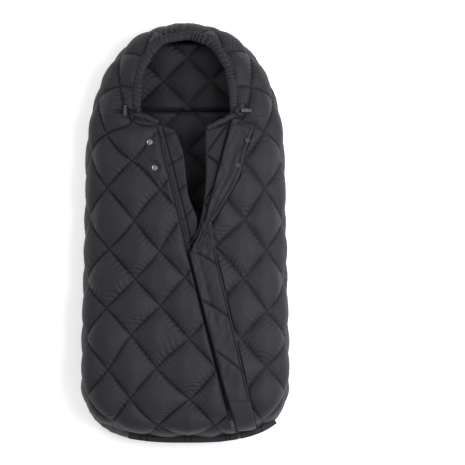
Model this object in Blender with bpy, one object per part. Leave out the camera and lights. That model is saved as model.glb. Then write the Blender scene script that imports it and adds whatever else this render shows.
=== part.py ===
"""Quilted stroller footmuff lying on its back: a padded bag with a hood, a slanting two-way zip,
a storm flap, a wind flap and a drawstring with two cord locks.

Metres. +Z is up, +Y points to the head end and +X to the right, seen from above.
The origin is on the floor, in the middle of the footprint.
"""

import math

import bmesh
import bpy
from mathutils import Matrix, Vector

# Driving dimensions of the bag
LENGTH = 0.98
WIDTH = 0.48
SHOULDER_WIDTH = 0.464
HEIGHT = 0.145
SEAM_HEIGHT = 0.022  # where the front and the sides meet the back
SHELL_THICKNESS = 0.018
GAP = 0.0005  # between pieces that touch
SEAM_GAP = 0.0012  # between the panels, along a sewn seam

HEAD_CENTRE_Y = 0.14  # the head end is half a superellipse about this row
HEAD_ROUNDNESS = 2.3
FOOT_CENTRE_Y = -0.33  # the foot end is half a superellipse about this row
FOOT_ROUNDNESS = 2.85
FOOT_SETBACK = 0.018  # the front stops short of the base at the foot
HEM_HEIGHT = 0.066
BODY_CROWN = 3.0  # superellipse exponent of the section across the body
FOOT_CROWN = 4.5

NECK_SIDE_Y = 0.272  # where the seam between hood and front meets the side
NECK_LEFT = Vector((-0.0654, 0.247))
NECK_RIGHT = Vector((0.1065, 0.2605))

# Zip: a straight line from the neck to the hem, in a channel below the surface
ZIP_TOP = Vector((-0.0574, 0.225))
ZIP_BOTTOM = Vector((0.1066, -0.4313))
CHANNEL_DEPTH = 0.008
CHANNEL_HALF_WIDTH = 0.008
ZIP_OPEN_Y = -0.035  # the row at which the zip stands open, where its slider rests
RIGHT_TAPE_BEND = Vector((0.046, 0.015))
RIGHT_TAPE_TOP = Vector((0.098, 0.228))
TAPE_THICKNESS = 0.0008
TAPE_INNER = 0.0033
TAPE_OUTER = 0.0070
TEETH_INNER = 0.0009
TEETH_OUTER = 0.0030
TEETH_HEIGHT = 0.0022
TEETH_START = 0.024

TEETH_END = 0.004  # from the last tooth to the end of the tapes
STOP_HALF_LENGTH = 0.0018
STOP_PROUD = 0.0004  # how far a stop stands above the teeth
TOP_STOP_STEP = 0.0025  # from a tape's first tooth to the middle of its top stop
BEND_ROOM = 0.008  # how far the right front draws back where its tape bends away from the zip
BEND_REACH = 0.05
NEAR_BEND = 0.01  # how far from a corner of the right tape its nearest points lie

SLIDER_HALF_LENGTH = 0.007
SLIDER_HALF_WIDTH = 0.0045
SLIDER_HALF_TUNNEL = 0.0015  # half the clear height between the two plates
SLIDER_TOP = 0.003
POST_HALF_WIDTH = 0.0006
POST_SPAN = (0.0030, 0.0065)
LOWER_SLIDER_END = 0.012  # from the lower slider's middle to the end of the zip
BRIDGE_HALF_LENGTH = 0.0042
BRIDGE_HALF_SPAN = 0.0028  # half the clear length under the bridge
BRIDGE_HALF_WIDTH = 0.0012
BRIDGE_HEIGHT = 0.0036  # above the upper plate
BRIDGE_THICKNESS = 0.0012
LOWER_BRIDGE_SHIFT = 0.0027
PULLER_WIRE = 0.0005  # half the thickness of the puller's loop
PULLER_HALF_WIDTH = 0.0030
PULLER_PIVOT = (0.0018, 0.0014)  # from the bridge's middle, and above the upper plate
GRIP_HALF_WIDTH = 0.0040
GRIP_HALF_THICKNESS = 0.0006
GRIP_START = 0.0080
UPPER_GRIP_END = 0.024
LOWER_GRIP_END = 0.034
OVERLAP = 0.0005  # how far boxes that make one piece run into each other

FLAP_THICKNESS = 0.008
FLAP_LIFT = 0.0015
FLAP_AXIS_LIFT = FLAP_LIFT + FLAP_THICKNESS / 2
WIND_FLAP_THICKNESS = 0.006
WIND_FLAP_OFFSET = 0.0055

TUNNEL_HALF_WIDTH = 0.0115
TUNNEL_HALF_HEIGHT = 0.007
TUNNEL_SUNK = 0.004  # from the surface of the bag down to the tunnel's middle
TUNNEL_BORE = 0.0026
OPENING_HALF_WIDTH = 0.1125
OPENING_CENTRE_Y = 0.30
OPENING_REACH = 0.156
OPENING_ROUNDNESS = 2.2
OPENING_START_Y = 0.2645

NECK_BAND_SUNK = 0.006
FACING_SUNK = 0.009
FACING_THICKNESS = 0.006
GUSSET_START = 0.42  # the angle round the foot at which the gusset starts and ends
GUSSET_THICKNESS = 0.012
HEM_CLIMB = (0.25, 1.0)  # the angles round the foot between which the hem climbs from the side seam
LINING_THICKNESS = 0.010
PLACKET_SUNK = 0.0070
PLACKET_HALF_WIDTH = 0.0070
PLACKET_THICKNESS = 0.0050

CORD_RADIUS = 0.0012
CORD_STEP = 0.0022
CORD_HALF_SPREAD = 0.0017  # half the distance between the two strands in a lock or an eyelet
SNAP_RADIUS = 0.0068
EYELET_Y = 0.2770
EYELET_LIFT = 0.0036
LOCK_LIFT = 0.0052

LOCK_HALF_WIDTH = 0.004  # along the cord
LOCK_HALF_HEIGHT = 0.0045
LOCK_SPAN = (-0.0125, 0.0050)  # along the button, from the closed end to the mouth
WELL_HALF_WIDTH = 0.0024
WELL_HALF_HEIGHT = 0.0029
WELL_END = -0.0110
SLOT_HALF_LENGTH = 0.0033  # the cord's slot, which takes both strands
SLOT_HALF_HEIGHT = 0.0016
BUTTON_HALF_WIDTH = 0.0021
BUTTON_HALF_HEIGHT = 0.0026
BUTTON_SPAN = (-0.0045, 0.0090)
BUTTON_TRAVEL = 0.003
BUTTON_HEAD_HALF_WIDTH = 0.0034
BUTTON_HEAD_HALF_HEIGHT = 0.0038
BUTTON_HEAD_SPAN = (0.0085, 0.0112)
SPRING_SPAN = (-0.0107, -0.0080)
SPRING_RADIUS = 0.0016
SPRING_WIRE = 0.00025
SPRING_TURNS = 3

UP = Vector((0.0, 0.0, 1.0))


def clear_scene():
    for obj in list(bpy.data.objects):
        bpy.data.objects.remove(obj, do_unlink=True)


def material(name, colour, roughness, metallic=0.0):
    made = bpy.data.materials.new(name)
    made.use_nodes = True
    shader = made.node_tree.nodes["Principled BSDF"]
    shader.inputs["Base Color"].default_value = (*colour, 1.0)
    shader.inputs["Roughness"].default_value = roughness
    shader.inputs["Metallic"].default_value = metallic
    return made


def finish_object(name, bm, surface, smooth=True):
    """Makes an object of a closed bmesh, with its faces pointing out."""
    bmesh.ops.recalc_face_normals(bm, faces=bm.faces)
    mesh = bpy.data.meshes.new(name)
    bm.to_mesh(mesh)
    bm.free()
    mesh.materials.append(surface)
    if smooth:
        mesh.shade_smooth()
        mesh.set_sharp_from_angle(angle=math.radians(35))
    obj = bpy.data.objects.new(name, mesh)
    bpy.context.scene.collection.objects.link(obj)
    return obj


def set_pivot(obj, point, parent=None):
    """Moves an object's origin to a point, such as one on its joint's axis, and leaves its shape in place."""
    obj.data.transform(Matrix.Translation(-Vector(point)))
    obj.location = point
    if parent is not None:
        obj.parent = parent
        obj.matrix_parent_inverse = Matrix.Translation(-parent.location)
    return obj


# ---- The surface of the bag -------------------------------------------------------------------


def blend_steps(value):
    """0 to 1 with a level start and end."""
    value = min(max(value, 0.0), 1.0)
    return value * value * (3.0 - 2.0 * value)


def half_width(y):
    """Half the bag's width between the two round ends."""
    share = (y - FOOT_CENTRE_Y) / (HEAD_CENTRE_Y - FOOT_CENTRE_Y)
    return (WIDTH + (SHOULDER_WIDTH - WIDTH) * min(max(share, 0.0), 1.0)) / 2


def gauge(x, y):
    """0 on the middle line and 1 on the front's outline."""
    if y > HEAD_CENTRE_Y:
        reach = LENGTH / 2 - HEAD_CENTRE_Y
        n = HEAD_ROUNDNESS
        return ((abs(x) / half_width(y)) ** n + ((y - HEAD_CENTRE_Y) / reach) ** n) ** (1 / n)
    if y < FOOT_CENTRE_Y:
        reach = LENGTH / 2 + FOOT_CENTRE_Y - FOOT_SETBACK
        n = FOOT_ROUNDNESS
        return ((abs(x) / half_width(y)) ** n + ((FOOT_CENTRE_Y - y) / reach) ** n) ** (1 / n)
    return abs(x) / half_width(y)


def crown(y):
    return BODY_CROWN + (FOOT_CROWN - BODY_CROWN) * blend_steps((-0.05 - y) / 0.25)


def surface_z(x, y):
    power = crown(y)
    return SEAM_HEIGHT + (HEIGHT - SEAM_HEIGHT) * max(0.0, 1.0 - gauge(x, y) ** power) ** (1 / power)


def surface_point(x, y, lift=0.0):
    return Vector((x, y, surface_z(x, y) + lift))


def surface_normal(x, y, step=0.002):
    along_x = surface_point(x + step, y) - surface_point(x - step, y)
    along_y = surface_point(x, y + step) - surface_point(x, y - step)
    return along_x.cross(along_y).normalized()


def end_point(angle, centre_y, reach, roundness):
    """A point of the outline's round end; angle 0 is at +X, positive towards the head."""
    across = abs(math.cos(angle)) ** (2 / roundness) * half_width(centre_y)
    along = abs(math.sin(angle)) ** (2 / roundness) * reach
    return Vector((math.copysign(across, math.cos(angle)), centre_y + math.copysign(along, math.sin(angle))))


def head_point(angle):
    return end_point(angle, HEAD_CENTRE_Y, LENGTH / 2 - HEAD_CENTRE_Y, HEAD_ROUNDNESS)


def foot_point(angle, setback=0.0):
    return end_point(angle, FOOT_CENTRE_Y, LENGTH / 2 + FOOT_CENTRE_Y - setback, FOOT_ROUNDNESS)


def head_angle(y):
    """The angle at which the head outline crosses row y, on the right."""
    share = (y - HEAD_CENTRE_Y) / (LENGTH / 2 - HEAD_CENTRE_Y)
    return math.asin(share ** (HEAD_ROUNDNESS / 2))


def foot_angle(x):
    """The angle, below the X axis, at which the foot outline crosses x."""
    share = abs(x) / half_width(FOOT_CENTRE_Y)
    angle = math.acos(share ** (FOOT_ROUNDNESS / 2))
    return angle if x > 0 else math.pi - angle


def lerp(a, b, share):
    return a + (b - a) * share


def along(points, share):
    """The point at a share of a polyline's length."""
    lengths = [(b - a).length for a, b in zip(points, points[1:])]
    left = share * sum(lengths)
    for a, b, length in zip(points, points[1:], lengths):
        if left <= length:
            return lerp(a, b, left / length)
        left -= length
    return points[-1].copy()


# ---- Closed solids ----------------------------------------------------------------------------


def solid_between(name, outer, inner, surface):
    """A closed solid between two grids of points of the same size."""
    bm = bmesh.new()
    rows, columns = len(outer), len(outer[0])
    top = [[bm.verts.new(p) for p in row] for row in outer]
    low = [[bm.verts.new(p) for p in row] for row in inner]
    for i in range(rows - 1):
        for j in range(columns - 1):
            bm.faces.new((top[i][j], top[i + 1][j], top[i + 1][j + 1], top[i][j + 1]))
            bm.faces.new((low[i][j], low[i][j + 1], low[i + 1][j + 1], low[i + 1][j]))
    border = [(i, 0) for i in range(rows)]
    border += [(rows - 1, j) for j in range(1, columns)]
    border += [(i, columns - 1) for i in range(rows - 2, -1, -1)]
    border += [(0, j) for j in range(columns - 2, 0, -1)]
    for (i, j), (k, m) in zip(border, border[1:] + border[:1]):
        bm.faces.new((top[i][j], low[i][j], low[k][m], top[k][m]))
    return finish_object(name, bm, surface)


def inside(point, low):
    """The point of the shell's inner face under a point of the surface: inwards at the rim, down on top."""
    rim = gauge(point.x, point.y) ** 8
    middle = Vector((0.0, min(max(point.y, FOOT_CENTRE_Y), HEAD_CENTRE_Y)))
    inward = (middle - point.xy).normalized() * SHELL_THICKNESS * rim
    height = max(low, point.z - SHELL_THICKNESS * (1.0 - rim))
    return Vector((point.x + inward.x, point.y + inward.y, height))


def shell_piece(name, outline, edge, lows, surface, columns=9):
    """A padded panel from the outline up and over to an inner edge, row by row.

    lows holds the height of its lower rim at each row.
    """
    outer = []
    for start, end, low in zip(outline, edge, lows):
        power = crown(start.y)
        rise = (low - SEAM_HEIGHT) / (HEIGHT - SEAM_HEIGHT)
        first = math.asin(rise ** (power / 2))
        row = []
        for k in range(columns):
            turn = lerp(first, math.pi / 2, k / (columns - 1))
            flat = lerp(start, end, 1.0 - math.cos(turn) ** (2 / power) if k < columns - 1 else 1.0)
            row.append(surface_point(flat.x, flat.y))
        row[0].z = low
        outer.append(row)
    inner = [[inside(p, row[0].z) for p in row] for row in outer]
    return solid_between(name, outer, inner, surface)


def flap(name, first_edge, second_edge, height_of, thickness, surface, rows=12, columns=5):
    """A padded strip between two edges; height_of gives the height of its underside."""
    lower = []
    for i in range(rows):
        a, b = along(first_edge, i / (rows - 1)), along(second_edge, i / (rows - 1))
        spots = [lerp(a, b, j / (columns - 1)) for j in range(columns)]
        lower.append([Vector((p.x, p.y, height_of(p))) for p in spots])
    upper = [[p + UP * thickness for p in row] for row in lower]
    return solid_between(name, upper, lower, surface)


def section_axes(path):
    """The sideways and the upward direction of a section at each point of a path."""
    axes = []
    for i in range(len(path)):
        ahead = (path[min(i + 1, len(path) - 1)] - path[max(i - 1, 0)]).normalized()
        side = ahead.cross(UP).normalized()
        axes.append((side, side.cross(ahead).normalized()))
    return axes


def sweep(name, path, profile, surface):
    """A closed bar along a path; profile holds (sideways, up) pairs."""
    bm = bmesh.new()
    rings = []
    for point, (side, top) in zip(path, section_axes(path)):
        rings.append([bm.verts.new(point + side * a + top * b) for a, b in profile])
    count = len(profile)
    for one, two in zip(rings, rings[1:]):
        for j in range(count):
            bm.faces.new((one[j], one[(j + 1) % count], two[(j + 1) % count], two[j]))
    bm.faces.new(rings[0])
    bm.faces.new(rings[-1])
    return finish_object(name, bm, surface)


def hollow_sweep(name, path, outer, inner, surface):
    """A tube with open ends; outer and inner are profiles with the same number of points."""
    bm = bmesh.new()
    rings = []
    for point, (side, top) in zip(path, section_axes(path)):
        ring = []
        for shape in (outer, inner):
            ring.append([bm.verts.new(point + side * a + top * b) for a, b in shape])
        rings.append(ring)
    count = len(outer)
    for one, two in zip(rings, rings[1:]):
        for layer in range(2):
            for j in range(count):
                k = (j + 1) % count
                bm.faces.new((one[layer][j], one[layer][k], two[layer][k], two[layer][j]))
    for ring in (rings[0], rings[-1]):
        for j in range(count):
            k = (j + 1) % count
            bm.faces.new((ring[0][j], ring[0][k], ring[1][k], ring[1][j]))
    return finish_object(name, bm, surface)


def oval(half_width_m, half_height_m, count=10):
    turns = [2 * math.pi * k / count for k in range(count)]
    return [(half_width_m * math.cos(t), half_height_m * math.sin(t)) for t in turns]


def prism(name, outline, low, high, surface):
    bm = bmesh.new()
    bottom = [bm.verts.new((p.x, p.y, low)) for p in outline]
    top = [bm.verts.new((p.x, p.y, high)) for p in outline]
    bm.faces.new(bottom)
    bm.faces.new(top)
    for i in range(len(outline)):
        j = (i + 1) % len(outline)
        bm.faces.new((bottom[i], bottom[j], top[j], top[i]))
    return finish_object(name, bm, surface)


def turned(name, profile, frame, surface, steps=20):
    """A solid of revolution about the frame's Z axis; profile holds (radius, height) from axis to axis."""
    bm = bmesh.new()
    points = [bm.verts.new((r, 0.0, z)) for r, z in profile]
    edges = [bm.edges.new(pair) for pair in zip(points, points[1:])]
    if profile[0][0] > 0:
        edges.append(bm.edges.new((points[-1], points[0])))
    bmesh.ops.spin(bm, geom=points + edges, axis=UP, cent=(0, 0, 0), angle=2 * math.pi, steps=steps)
    bmesh.ops.remove_doubles(bm, verts=bm.verts, dist=1e-5)
    bmesh.ops.transform(bm, matrix=frame, verts=bm.verts)
    return finish_object(name, bm, surface)


def tube(name, points, radius, surface, resolution=2):
    """A cord: a polyline with a round section."""
    curve = bpy.data.curves.new(name, "CURVE")
    curve.dimensions = "3D"
    curve.bevel_depth = radius
    curve.bevel_resolution = resolution
    curve.use_fill_caps = True
    spline = curve.splines.new("POLY")
    spline.points.add(len(points) - 1)
    for slot, point in zip(spline.points, points):
        slot.co = (*point, 1.0)
    curve.materials.append(surface)
    obj = bpy.data.objects.new(name, curve)
    bpy.context.scene.collection.objects.link(obj)
    return obj


def smooth_route(points, spacing):
    """Evenly spaced points on a smooth curve through the given ones."""
    padded = [2 * points[0] - points[1], *points, 2 * points[-1] - points[-2]]
    fine = []
    for a, b, c, d in zip(padded, padded[1:], padded[2:], padded[3:]):
        for step in range(12):
            t = step / 12
            bend = (2 * a - 5 * b + 4 * c - d) * t * t + (3 * b - a - 3 * c + d) * t**3
            fine.append(b + ((c - a) * t + bend) / 2)
    fine.append(points[-1])
    length = sum((q - p).length for p, q in zip(fine, fine[1:]))
    count = max(2, round(length / spacing))
    return [along(fine, k / count) for k in range(count + 1)]


def block(bm, low, high):
    """Adds a box to a bmesh."""
    made = bmesh.ops.create_cube(bm, size=1.0)["verts"]
    size = Vector(high) - Vector(low)
    middle = (Vector(high) + Vector(low)) / 2
    bmesh.ops.transform(bm, matrix=Matrix.Translation(middle) @ Matrix.Diagonal((*size, 1.0)), verts=made)
    return made


def cut_or_join(target, other, operation):
    """Applies one Boolean to an object and removes the helper."""
    modifier = target.modifiers.new(operation.title(), "BOOLEAN")
    modifier.operation = operation
    modifier.object = other
    bpy.context.view_layer.update()
    evaluated = target.evaluated_get(bpy.context.evaluated_depsgraph_get())
    mesh = bpy.data.meshes.new_from_object(evaluated)
    target.modifiers.clear()
    target.data = mesh
    bpy.data.objects.remove(other, do_unlink=True)


def boxes(name, joined, cut, frame, surface):
    """One solid of overlapping boxes, less other boxes, placed by a frame."""
    whole = None
    for operation, spans in (("UNION", joined), ("DIFFERENCE", cut)):
        for low, high in spans:
            bm = bmesh.new()
            block(bm, low, high)
            piece = finish_object(name if whole is None else "helper", bm, surface, smooth=False)
            if whole is None:
                whole = piece
            else:
                cut_or_join(whole, piece, operation)
    whole.data.transform(frame)
    return whole


# ---- Sewn parts -------------------------------------------------------------------------------


def whole_outline(inset=0.0, end_steps=22, side_steps=8):
    """The base's outline, anticlockwise from the right, moved in by inset."""
    points = [head_point(math.pi * k / end_steps) for k in range(end_steps + 1)]
    left = [lerp(head_point(math.pi), foot_point(math.pi), k / side_steps) for k in range(1, side_steps)]
    points += left
    points += [foot_point(math.pi + math.pi * k / end_steps) for k in range(end_steps + 1)]
    points += [Vector((-p.x, p.y)) for p in reversed(left)]
    return [Vector((p.x * (1 - 2 * inset / WIDTH), p.y * (1 - 2 * inset / LENGTH))) for p in points]


def back_panel(surface):
    """The padded back, flat on the floor, with a rounded rim."""
    bm = bmesh.new()
    levels = ((0.0, 0.006), (0.004, 0.0012), (0.010, 0.0), (0.018, 0.0012), (SEAM_HEIGHT - GAP, 0.004))
    rings = []
    for height, inset in levels:
        rings.append([bm.verts.new((p.x, p.y, height)) for p in whole_outline(inset)])
    count = len(rings[0])
    for low, high in zip(rings, rings[1:]):
        for j in range(count):
            bm.faces.new((low[j], low[(j + 1) % count], high[(j + 1) % count], high[j]))
    bm.faces.new(rings[0])
    bm.faces.new(rings[-1])
    return finish_object("back_panel", bm, surface)


def lining(name, low_y, high_y, surface, inset, rows=14):
    """A quilted lining pad on the back, between two rows."""
    right = []
    for k in range(rows):
        y = lerp(low_y, high_y, blend_steps(k / (rows - 1)) * 0.6 + 0.4 * k / (rows - 1))
        share = max(1e-4, 1.0 - gauge(0.0, y) ** HEAD_ROUNDNESS)
        across = half_width(y) * share ** (1 / HEAD_ROUNDNESS) if abs(y) > HEAD_CENTRE_Y else half_width(y)
        right.append(Vector((across - inset, y)))
    outline = right + [Vector((-p.x, p.y)) for p in reversed(right)]
    return prism(name, outline, SEAM_HEIGHT, SEAM_HEIGHT + LINING_THICKNESS, surface)


def front_rows(side, inner_x, end_x, top_edge, side_rows=14, end_rows=13):
    """The outline and the inner edge of one front panel, from the neck round to the foot."""
    outline, edge, lows = [], [], []
    for k in range(side_rows):
        share = k / side_rows
        y = lerp(NECK_SIDE_Y, FOOT_CENTRE_Y, share)
        if y > HEAD_CENTRE_Y:
            point = head_point(head_angle(y))
        else:
            point = Vector((half_width(y), y))
        outline.append(Vector((side * point.x, point.y)))
        inner_y = lerp(top_edge.y, FOOT_CENTRE_Y, share)
        edge.append(Vector((inner_x(inner_y), inner_y)))
        lows.append(SEAM_HEIGHT)
    last = foot_angle(end_x * side)
    for k in range(end_rows):
        share = k / (end_rows - 1)
        point = foot_point(-last * share, FOOT_SETBACK)
        outline.append(Vector((side * point.x, point.y)))
        inner_y = lerp(FOOT_CENTRE_Y, ZIP_BOTTOM.y, share)
        edge.append(Vector((inner_x(inner_y), inner_y)))
        lows.append(hem_height(last * share))
    return outline, edge, lows


def hem_height(angle):
    """The height of the front's lower rim, climbing round the foot corner from the side seam to the hem."""
    start, end = HEM_CLIMB
    return lerp(SEAM_HEIGHT, HEM_HEIGHT, blend_steps((angle - start) / (end - start)))


def zip_x(y):
    return lerp(ZIP_TOP.x, ZIP_BOTTOM.x, (ZIP_TOP.y - y) / (ZIP_TOP.y - ZIP_BOTTOM.y))


def right_tape_route():
    """The right tape from its top to where it joins the zip, in plan."""
    return [RIGHT_TAPE_TOP, RIGHT_TAPE_BEND, Vector((zip_x(ZIP_OPEN_Y), ZIP_OPEN_Y))]


def right_edge_x(y):
    """The right front panel's inner edge at row y."""
    top, bend, joined = right_tape_route()
    if y > bend.y:
        x = lerp(bend.x, top.x, (y - bend.y) / (top.y - bend.y))
    elif y > joined.y:
        x = lerp(joined.x, bend.x, (y - joined.y) / (bend.y - joined.y))
    else:
        x = zip_x(y)
    room = BEND_ROOM * blend_steps(1.6 - abs(y) / BEND_REACH)
    return x + CHANNEL_HALF_WIDTH + SEAM_GAP + room


def left_edge_x(y):
    """The left front panel's inner edge at row y."""
    return zip_x(y) - CHANNEL_HALF_WIDTH


def front_panels(surface):
    hem_y = -LENGTH / 2 + FOOT_SETBACK
    left = front_rows(-1, left_edge_x, left_edge_x(hem_y), NECK_LEFT)
    shell_piece("left_front_panel", *left, surface)
    right = front_rows(1, right_edge_x, right_edge_x(hem_y), NECK_RIGHT)
    shell_piece("right_front_panel", *right, surface)


def opening_point(angle, offset=0.0):
    """A point of the hood opening's arch; angle 0 is at +X."""
    n = OPENING_ROUNDNESS
    across = (OPENING_HALF_WIDTH + offset) * abs(math.cos(angle)) ** (2 / n)
    reach = (OPENING_REACH + offset) * abs(math.sin(angle)) ** (2 / n)
    return Vector((math.copysign(across, math.cos(angle)), OPENING_CENTRE_Y + reach))


def hood_shell(surface, rows=30, leg=4):
    """The padded hood round the opening, from the left neck seam over the head to the right one."""
    first = head_angle(NECK_SIDE_Y)
    offset = TUNNEL_HALF_WIDTH + SEAM_GAP
    outline = [head_point(lerp(math.pi - first, first, k / (rows - 1))) for k in range(rows)]
    turns = [math.pi * (1 - (k + 0.5 - leg) / (rows - 2 * leg)) for k in range(rows)]
    edge = [opening_point(min(max(turn, 0.0), math.pi), offset) for turn in turns]
    spread_leg(edge, leg, -1, NECK_LEFT, offset)
    spread_leg(edge, leg, 1, NECK_RIGHT, offset)
    outline[0].y += SEAM_GAP
    outline[-1].y += SEAM_GAP
    shell_piece("hood_shell", outline, edge, [SEAM_HEIGHT] * rows, surface)


def spread_leg(edge, leg, side, neck, offset):
    """Spaces the rows of one straight leg of the opening between the neck seam and the arch."""
    x = side * (OPENING_HALF_WIDTH + offset)
    corner = head_point(head_angle(NECK_SIDE_Y))
    seam = lerp(Vector((side * corner.x, NECK_SIDE_Y)), neck, (corner.x - abs(x)) / (corner.x - abs(neck.x)))
    for k in range(leg):
        spot = Vector((x, lerp(seam.y + SEAM_GAP, OPENING_CENTRE_Y, k / leg)))
        edge[k if side < 0 else len(edge) - 1 - k] = spot


def tunnel_route(steps=24):
    """The middle of the drawstring tunnel, from the left end over the head to the right end."""
    rows = [lerp(OPENING_CENTRE_Y, OPENING_START_Y, k / 3) for k in range(1, 4)]
    leg = [Vector((OPENING_HALF_WIDTH, y)) for y in rows]
    flat = [Vector((-p.x, p.y)) for p in reversed(leg)]
    flat += [opening_point(math.pi * (1 - k / steps)) for k in range(steps + 1)]
    return [surface_point(p.x, p.y, -TUNNEL_SUNK) for p in flat + leg]


def hood_tunnel(surface, cord_surface):
    route = tunnel_route()
    outer = oval(TUNNEL_HALF_WIDTH, TUNNEL_HALF_HEIGHT)
    hollow_sweep("hood_tunnel", route, outer, oval(TUNNEL_BORE, TUNNEL_BORE), surface)
    sweep("hood_drawcord", route, oval(CORD_RADIUS, CORD_RADIUS, 8), cord_surface)


def foot_gusset(surface, rows=22, levels=4):
    """The band round the foot, between the base and the front's hem."""
    outer, inner = [], []
    for k in range(rows):
        angle = lerp(GUSSET_START, math.pi - GUSSET_START, k / (rows - 1))
        base = foot_point(-angle)
        hem = foot_point(-angle, FOOT_SETBACK)
        top = hem_height(min(angle, math.pi - angle)) - SEAM_GAP
        row, row_in = [], []
        for j in range(levels):
            share = j / (levels - 1)
            flat = lerp(base, hem, share * share)
            inward = (Vector((0.0, FOOT_CENTRE_Y)) - flat).normalized() * GUSSET_THICKNESS
            height = lerp(SEAM_HEIGHT, top, share)
            row.append(Vector((flat.x, flat.y, height)))
            row_in.append(Vector((flat.x + inward.x, flat.y + inward.y, height)))
        outer.append(row)
        inner.append(row_in)
    return solid_between("foot_gusset", outer, inner, surface)


def neck_bands(surface):
    """The two bound edges of the neckline, between the tunnel's ends and the V."""
    profile = oval(0.0062, 0.006, 8)
    left = (Vector((-0.0985, 0.2600)), Vector((-0.0800, 0.2575)), Vector((NECK_LEFT.x + 0.003, 0.2540)))
    right = (Vector((0.0985, 0.2600)), Vector((0.0800, 0.2500)), Vector((0.0500, 0.2345)))
    for name, route in (("neck_band_left", left), ("neck_band_right", right)):
        sweep(name, [surface_point(p.x, p.y, -NECK_BAND_SUNK) for p in route], profile, surface)


def right_facing(surface):
    """The flat facing between the V's right edge and the right tape."""
    free = [Vector((0.0475, 0.2235)), Vector((0.0480, 0.108)), Vector((0.0363, 0.0200))]
    sewn = [Vector((RIGHT_TAPE_TOP.x - 0.003, 0.2255)), RIGHT_TAPE_BEND + Vector((-0.0022, 0.006))]
    flap("right_facing", free, sewn, lambda p: surface_z(p.x, p.y) - FACING_SUNK, FACING_THICKNESS, surface)


def flap_height(point):
    return surface_z(point.x, point.y) + FLAP_LIFT


def upper_fold():
    """The two ends of the line that the upper storm flap folds on."""
    return Vector((0.106, 0.229)), Vector((0.047, 0.012))


def lower_seam():
    """The two ends of the seam that the lower storm flap lifts about."""
    return Vector((0.0668, -0.025)), Vector((0.1530, -0.395))


def axis_point(end):
    return surface_point(end.x, end.y, FLAP_AXIS_LIFT)


def zip_side(distance, y):
    """A point beside the zip, at the row y of the zip."""
    lean = (ZIP_BOTTOM - ZIP_TOP).normalized()
    return Vector((zip_x(y), y)) + Vector((-lean.y, lean.x)) * distance


def storm_flaps(surface):
    """The storm flap: folded back above, lying over the zip below, and sewn down at the twist and the hem."""
    fold = [Vector((0.1125, 0.248)), upper_fold()[1] + Vector((0.001, 0.0))]
    free = [(0.160, 0.238), (0.1395, 0.1805), (0.1254, 0.1242), (0.0926, 0.0656), (0.0640, 0.0200)]
    free = [Vector(p) for p in free]
    upper = flap("storm_flap_upper", fold, free, flap_height, FLAP_THICKNESS, surface, 16, 6)
    set_pivot(upper, axis_point(upper_fold()[1]))

    seam = [p - Vector((0.001, 0.0)) for p in lower_seam()]
    over_zip = [zip_side(0.003, -0.052), zip_side(0.006, -0.395)]
    lower = flap("storm_flap_lower", over_zip, seam, flap_height, FLAP_THICKNESS, surface, 16, 6)
    set_pivot(lower, axis_point(lower_seam()[0]))

    left = [zip_side(0.006, -0.3965), zip_side(0.0065, -0.446)]
    right = [lower_seam()[1] + Vector((0.0, -0.0015)), Vector((0.1610, -0.442))]
    flap("storm_flap_end", left, right, flap_height, FLAP_THICKNESS, surface, 9, 6)

    inner = [Vector((0.0490, 0.006)), Vector((0.0260, -0.036))]
    outer = [Vector((0.0650, 0.004)), Vector((0.0650, -0.021))]
    flap("storm_flap_twist", inner, outer, flap_height, FLAP_THICKNESS, surface, 6, 4)


# ---- Zip --------------------------------------------------------------------------------------


def zip_ends():
    """The zip's ends in space, in the plane of its tapes."""
    return (
        surface_point(ZIP_TOP.x, ZIP_TOP.y, -CHANNEL_DEPTH),
        surface_point(ZIP_BOTTOM.x, ZIP_BOTTOM.y, -CHANNEL_DEPTH),
    )


def zip_length():
    top, bottom = zip_ends()
    return (bottom - top).length


def zip_frame(distance):
    """A frame on the zip: +X to the right across it, +Y up the zip to the head, +Z out of the tapes."""
    top, bottom = zip_ends()
    towards_head = (top - bottom).normalized()
    right = towards_head.cross(UP).normalized()
    out = right.cross(towards_head)
    axes = Matrix((right, towards_head, out)).transposed().to_4x4()
    return Matrix.Translation(top - towards_head * distance) @ axes


def zip_height(x, y):
    """The height of the tapes' plane, which the right tape keeps to as it leaves the zip."""
    top, bottom = zip_ends()
    share = (top.y - y) / (top.y - bottom.y)
    sunk = lerp(top.z, bottom.z, share)
    return lerp(sunk, surface_z(x, y) - CHANNEL_DEPTH, blend_steps((y - ZIP_OPEN_Y) / 0.1))


def open_distance():
    """How far down the zip its upper slider rests."""
    top, bottom = zip_ends()
    return (top.y - ZIP_OPEN_Y) / (top.y - bottom.y) * zip_length()


def bar(inner, outer, height, side):
    """A rectangular profile beside the zip's middle."""
    low, high = sorted((inner * side, outer * side))
    return [(low, -height / 2), (high, -height / 2), (high, height / 2), (low, height / 2)]


def zip_run(distance):
    return zip_frame(distance).translation


def right_tape_path(start):
    """Points down the right tape's loose part, from start metres below its top, to the zip."""
    top, bend, joined = right_tape_route()
    down = (bend - top).normalized()
    over = (joined - bend).normalized()
    flat = [top + down * start, lerp(top, bend, 0.5), bend - down * NEAR_BEND, bend, bend + over * NEAR_BEND]
    flat += [joined - over * NEAR_BEND, joined]
    return [Vector((p.x, p.y, zip_height(p.x, p.y))) for p in flat]


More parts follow.
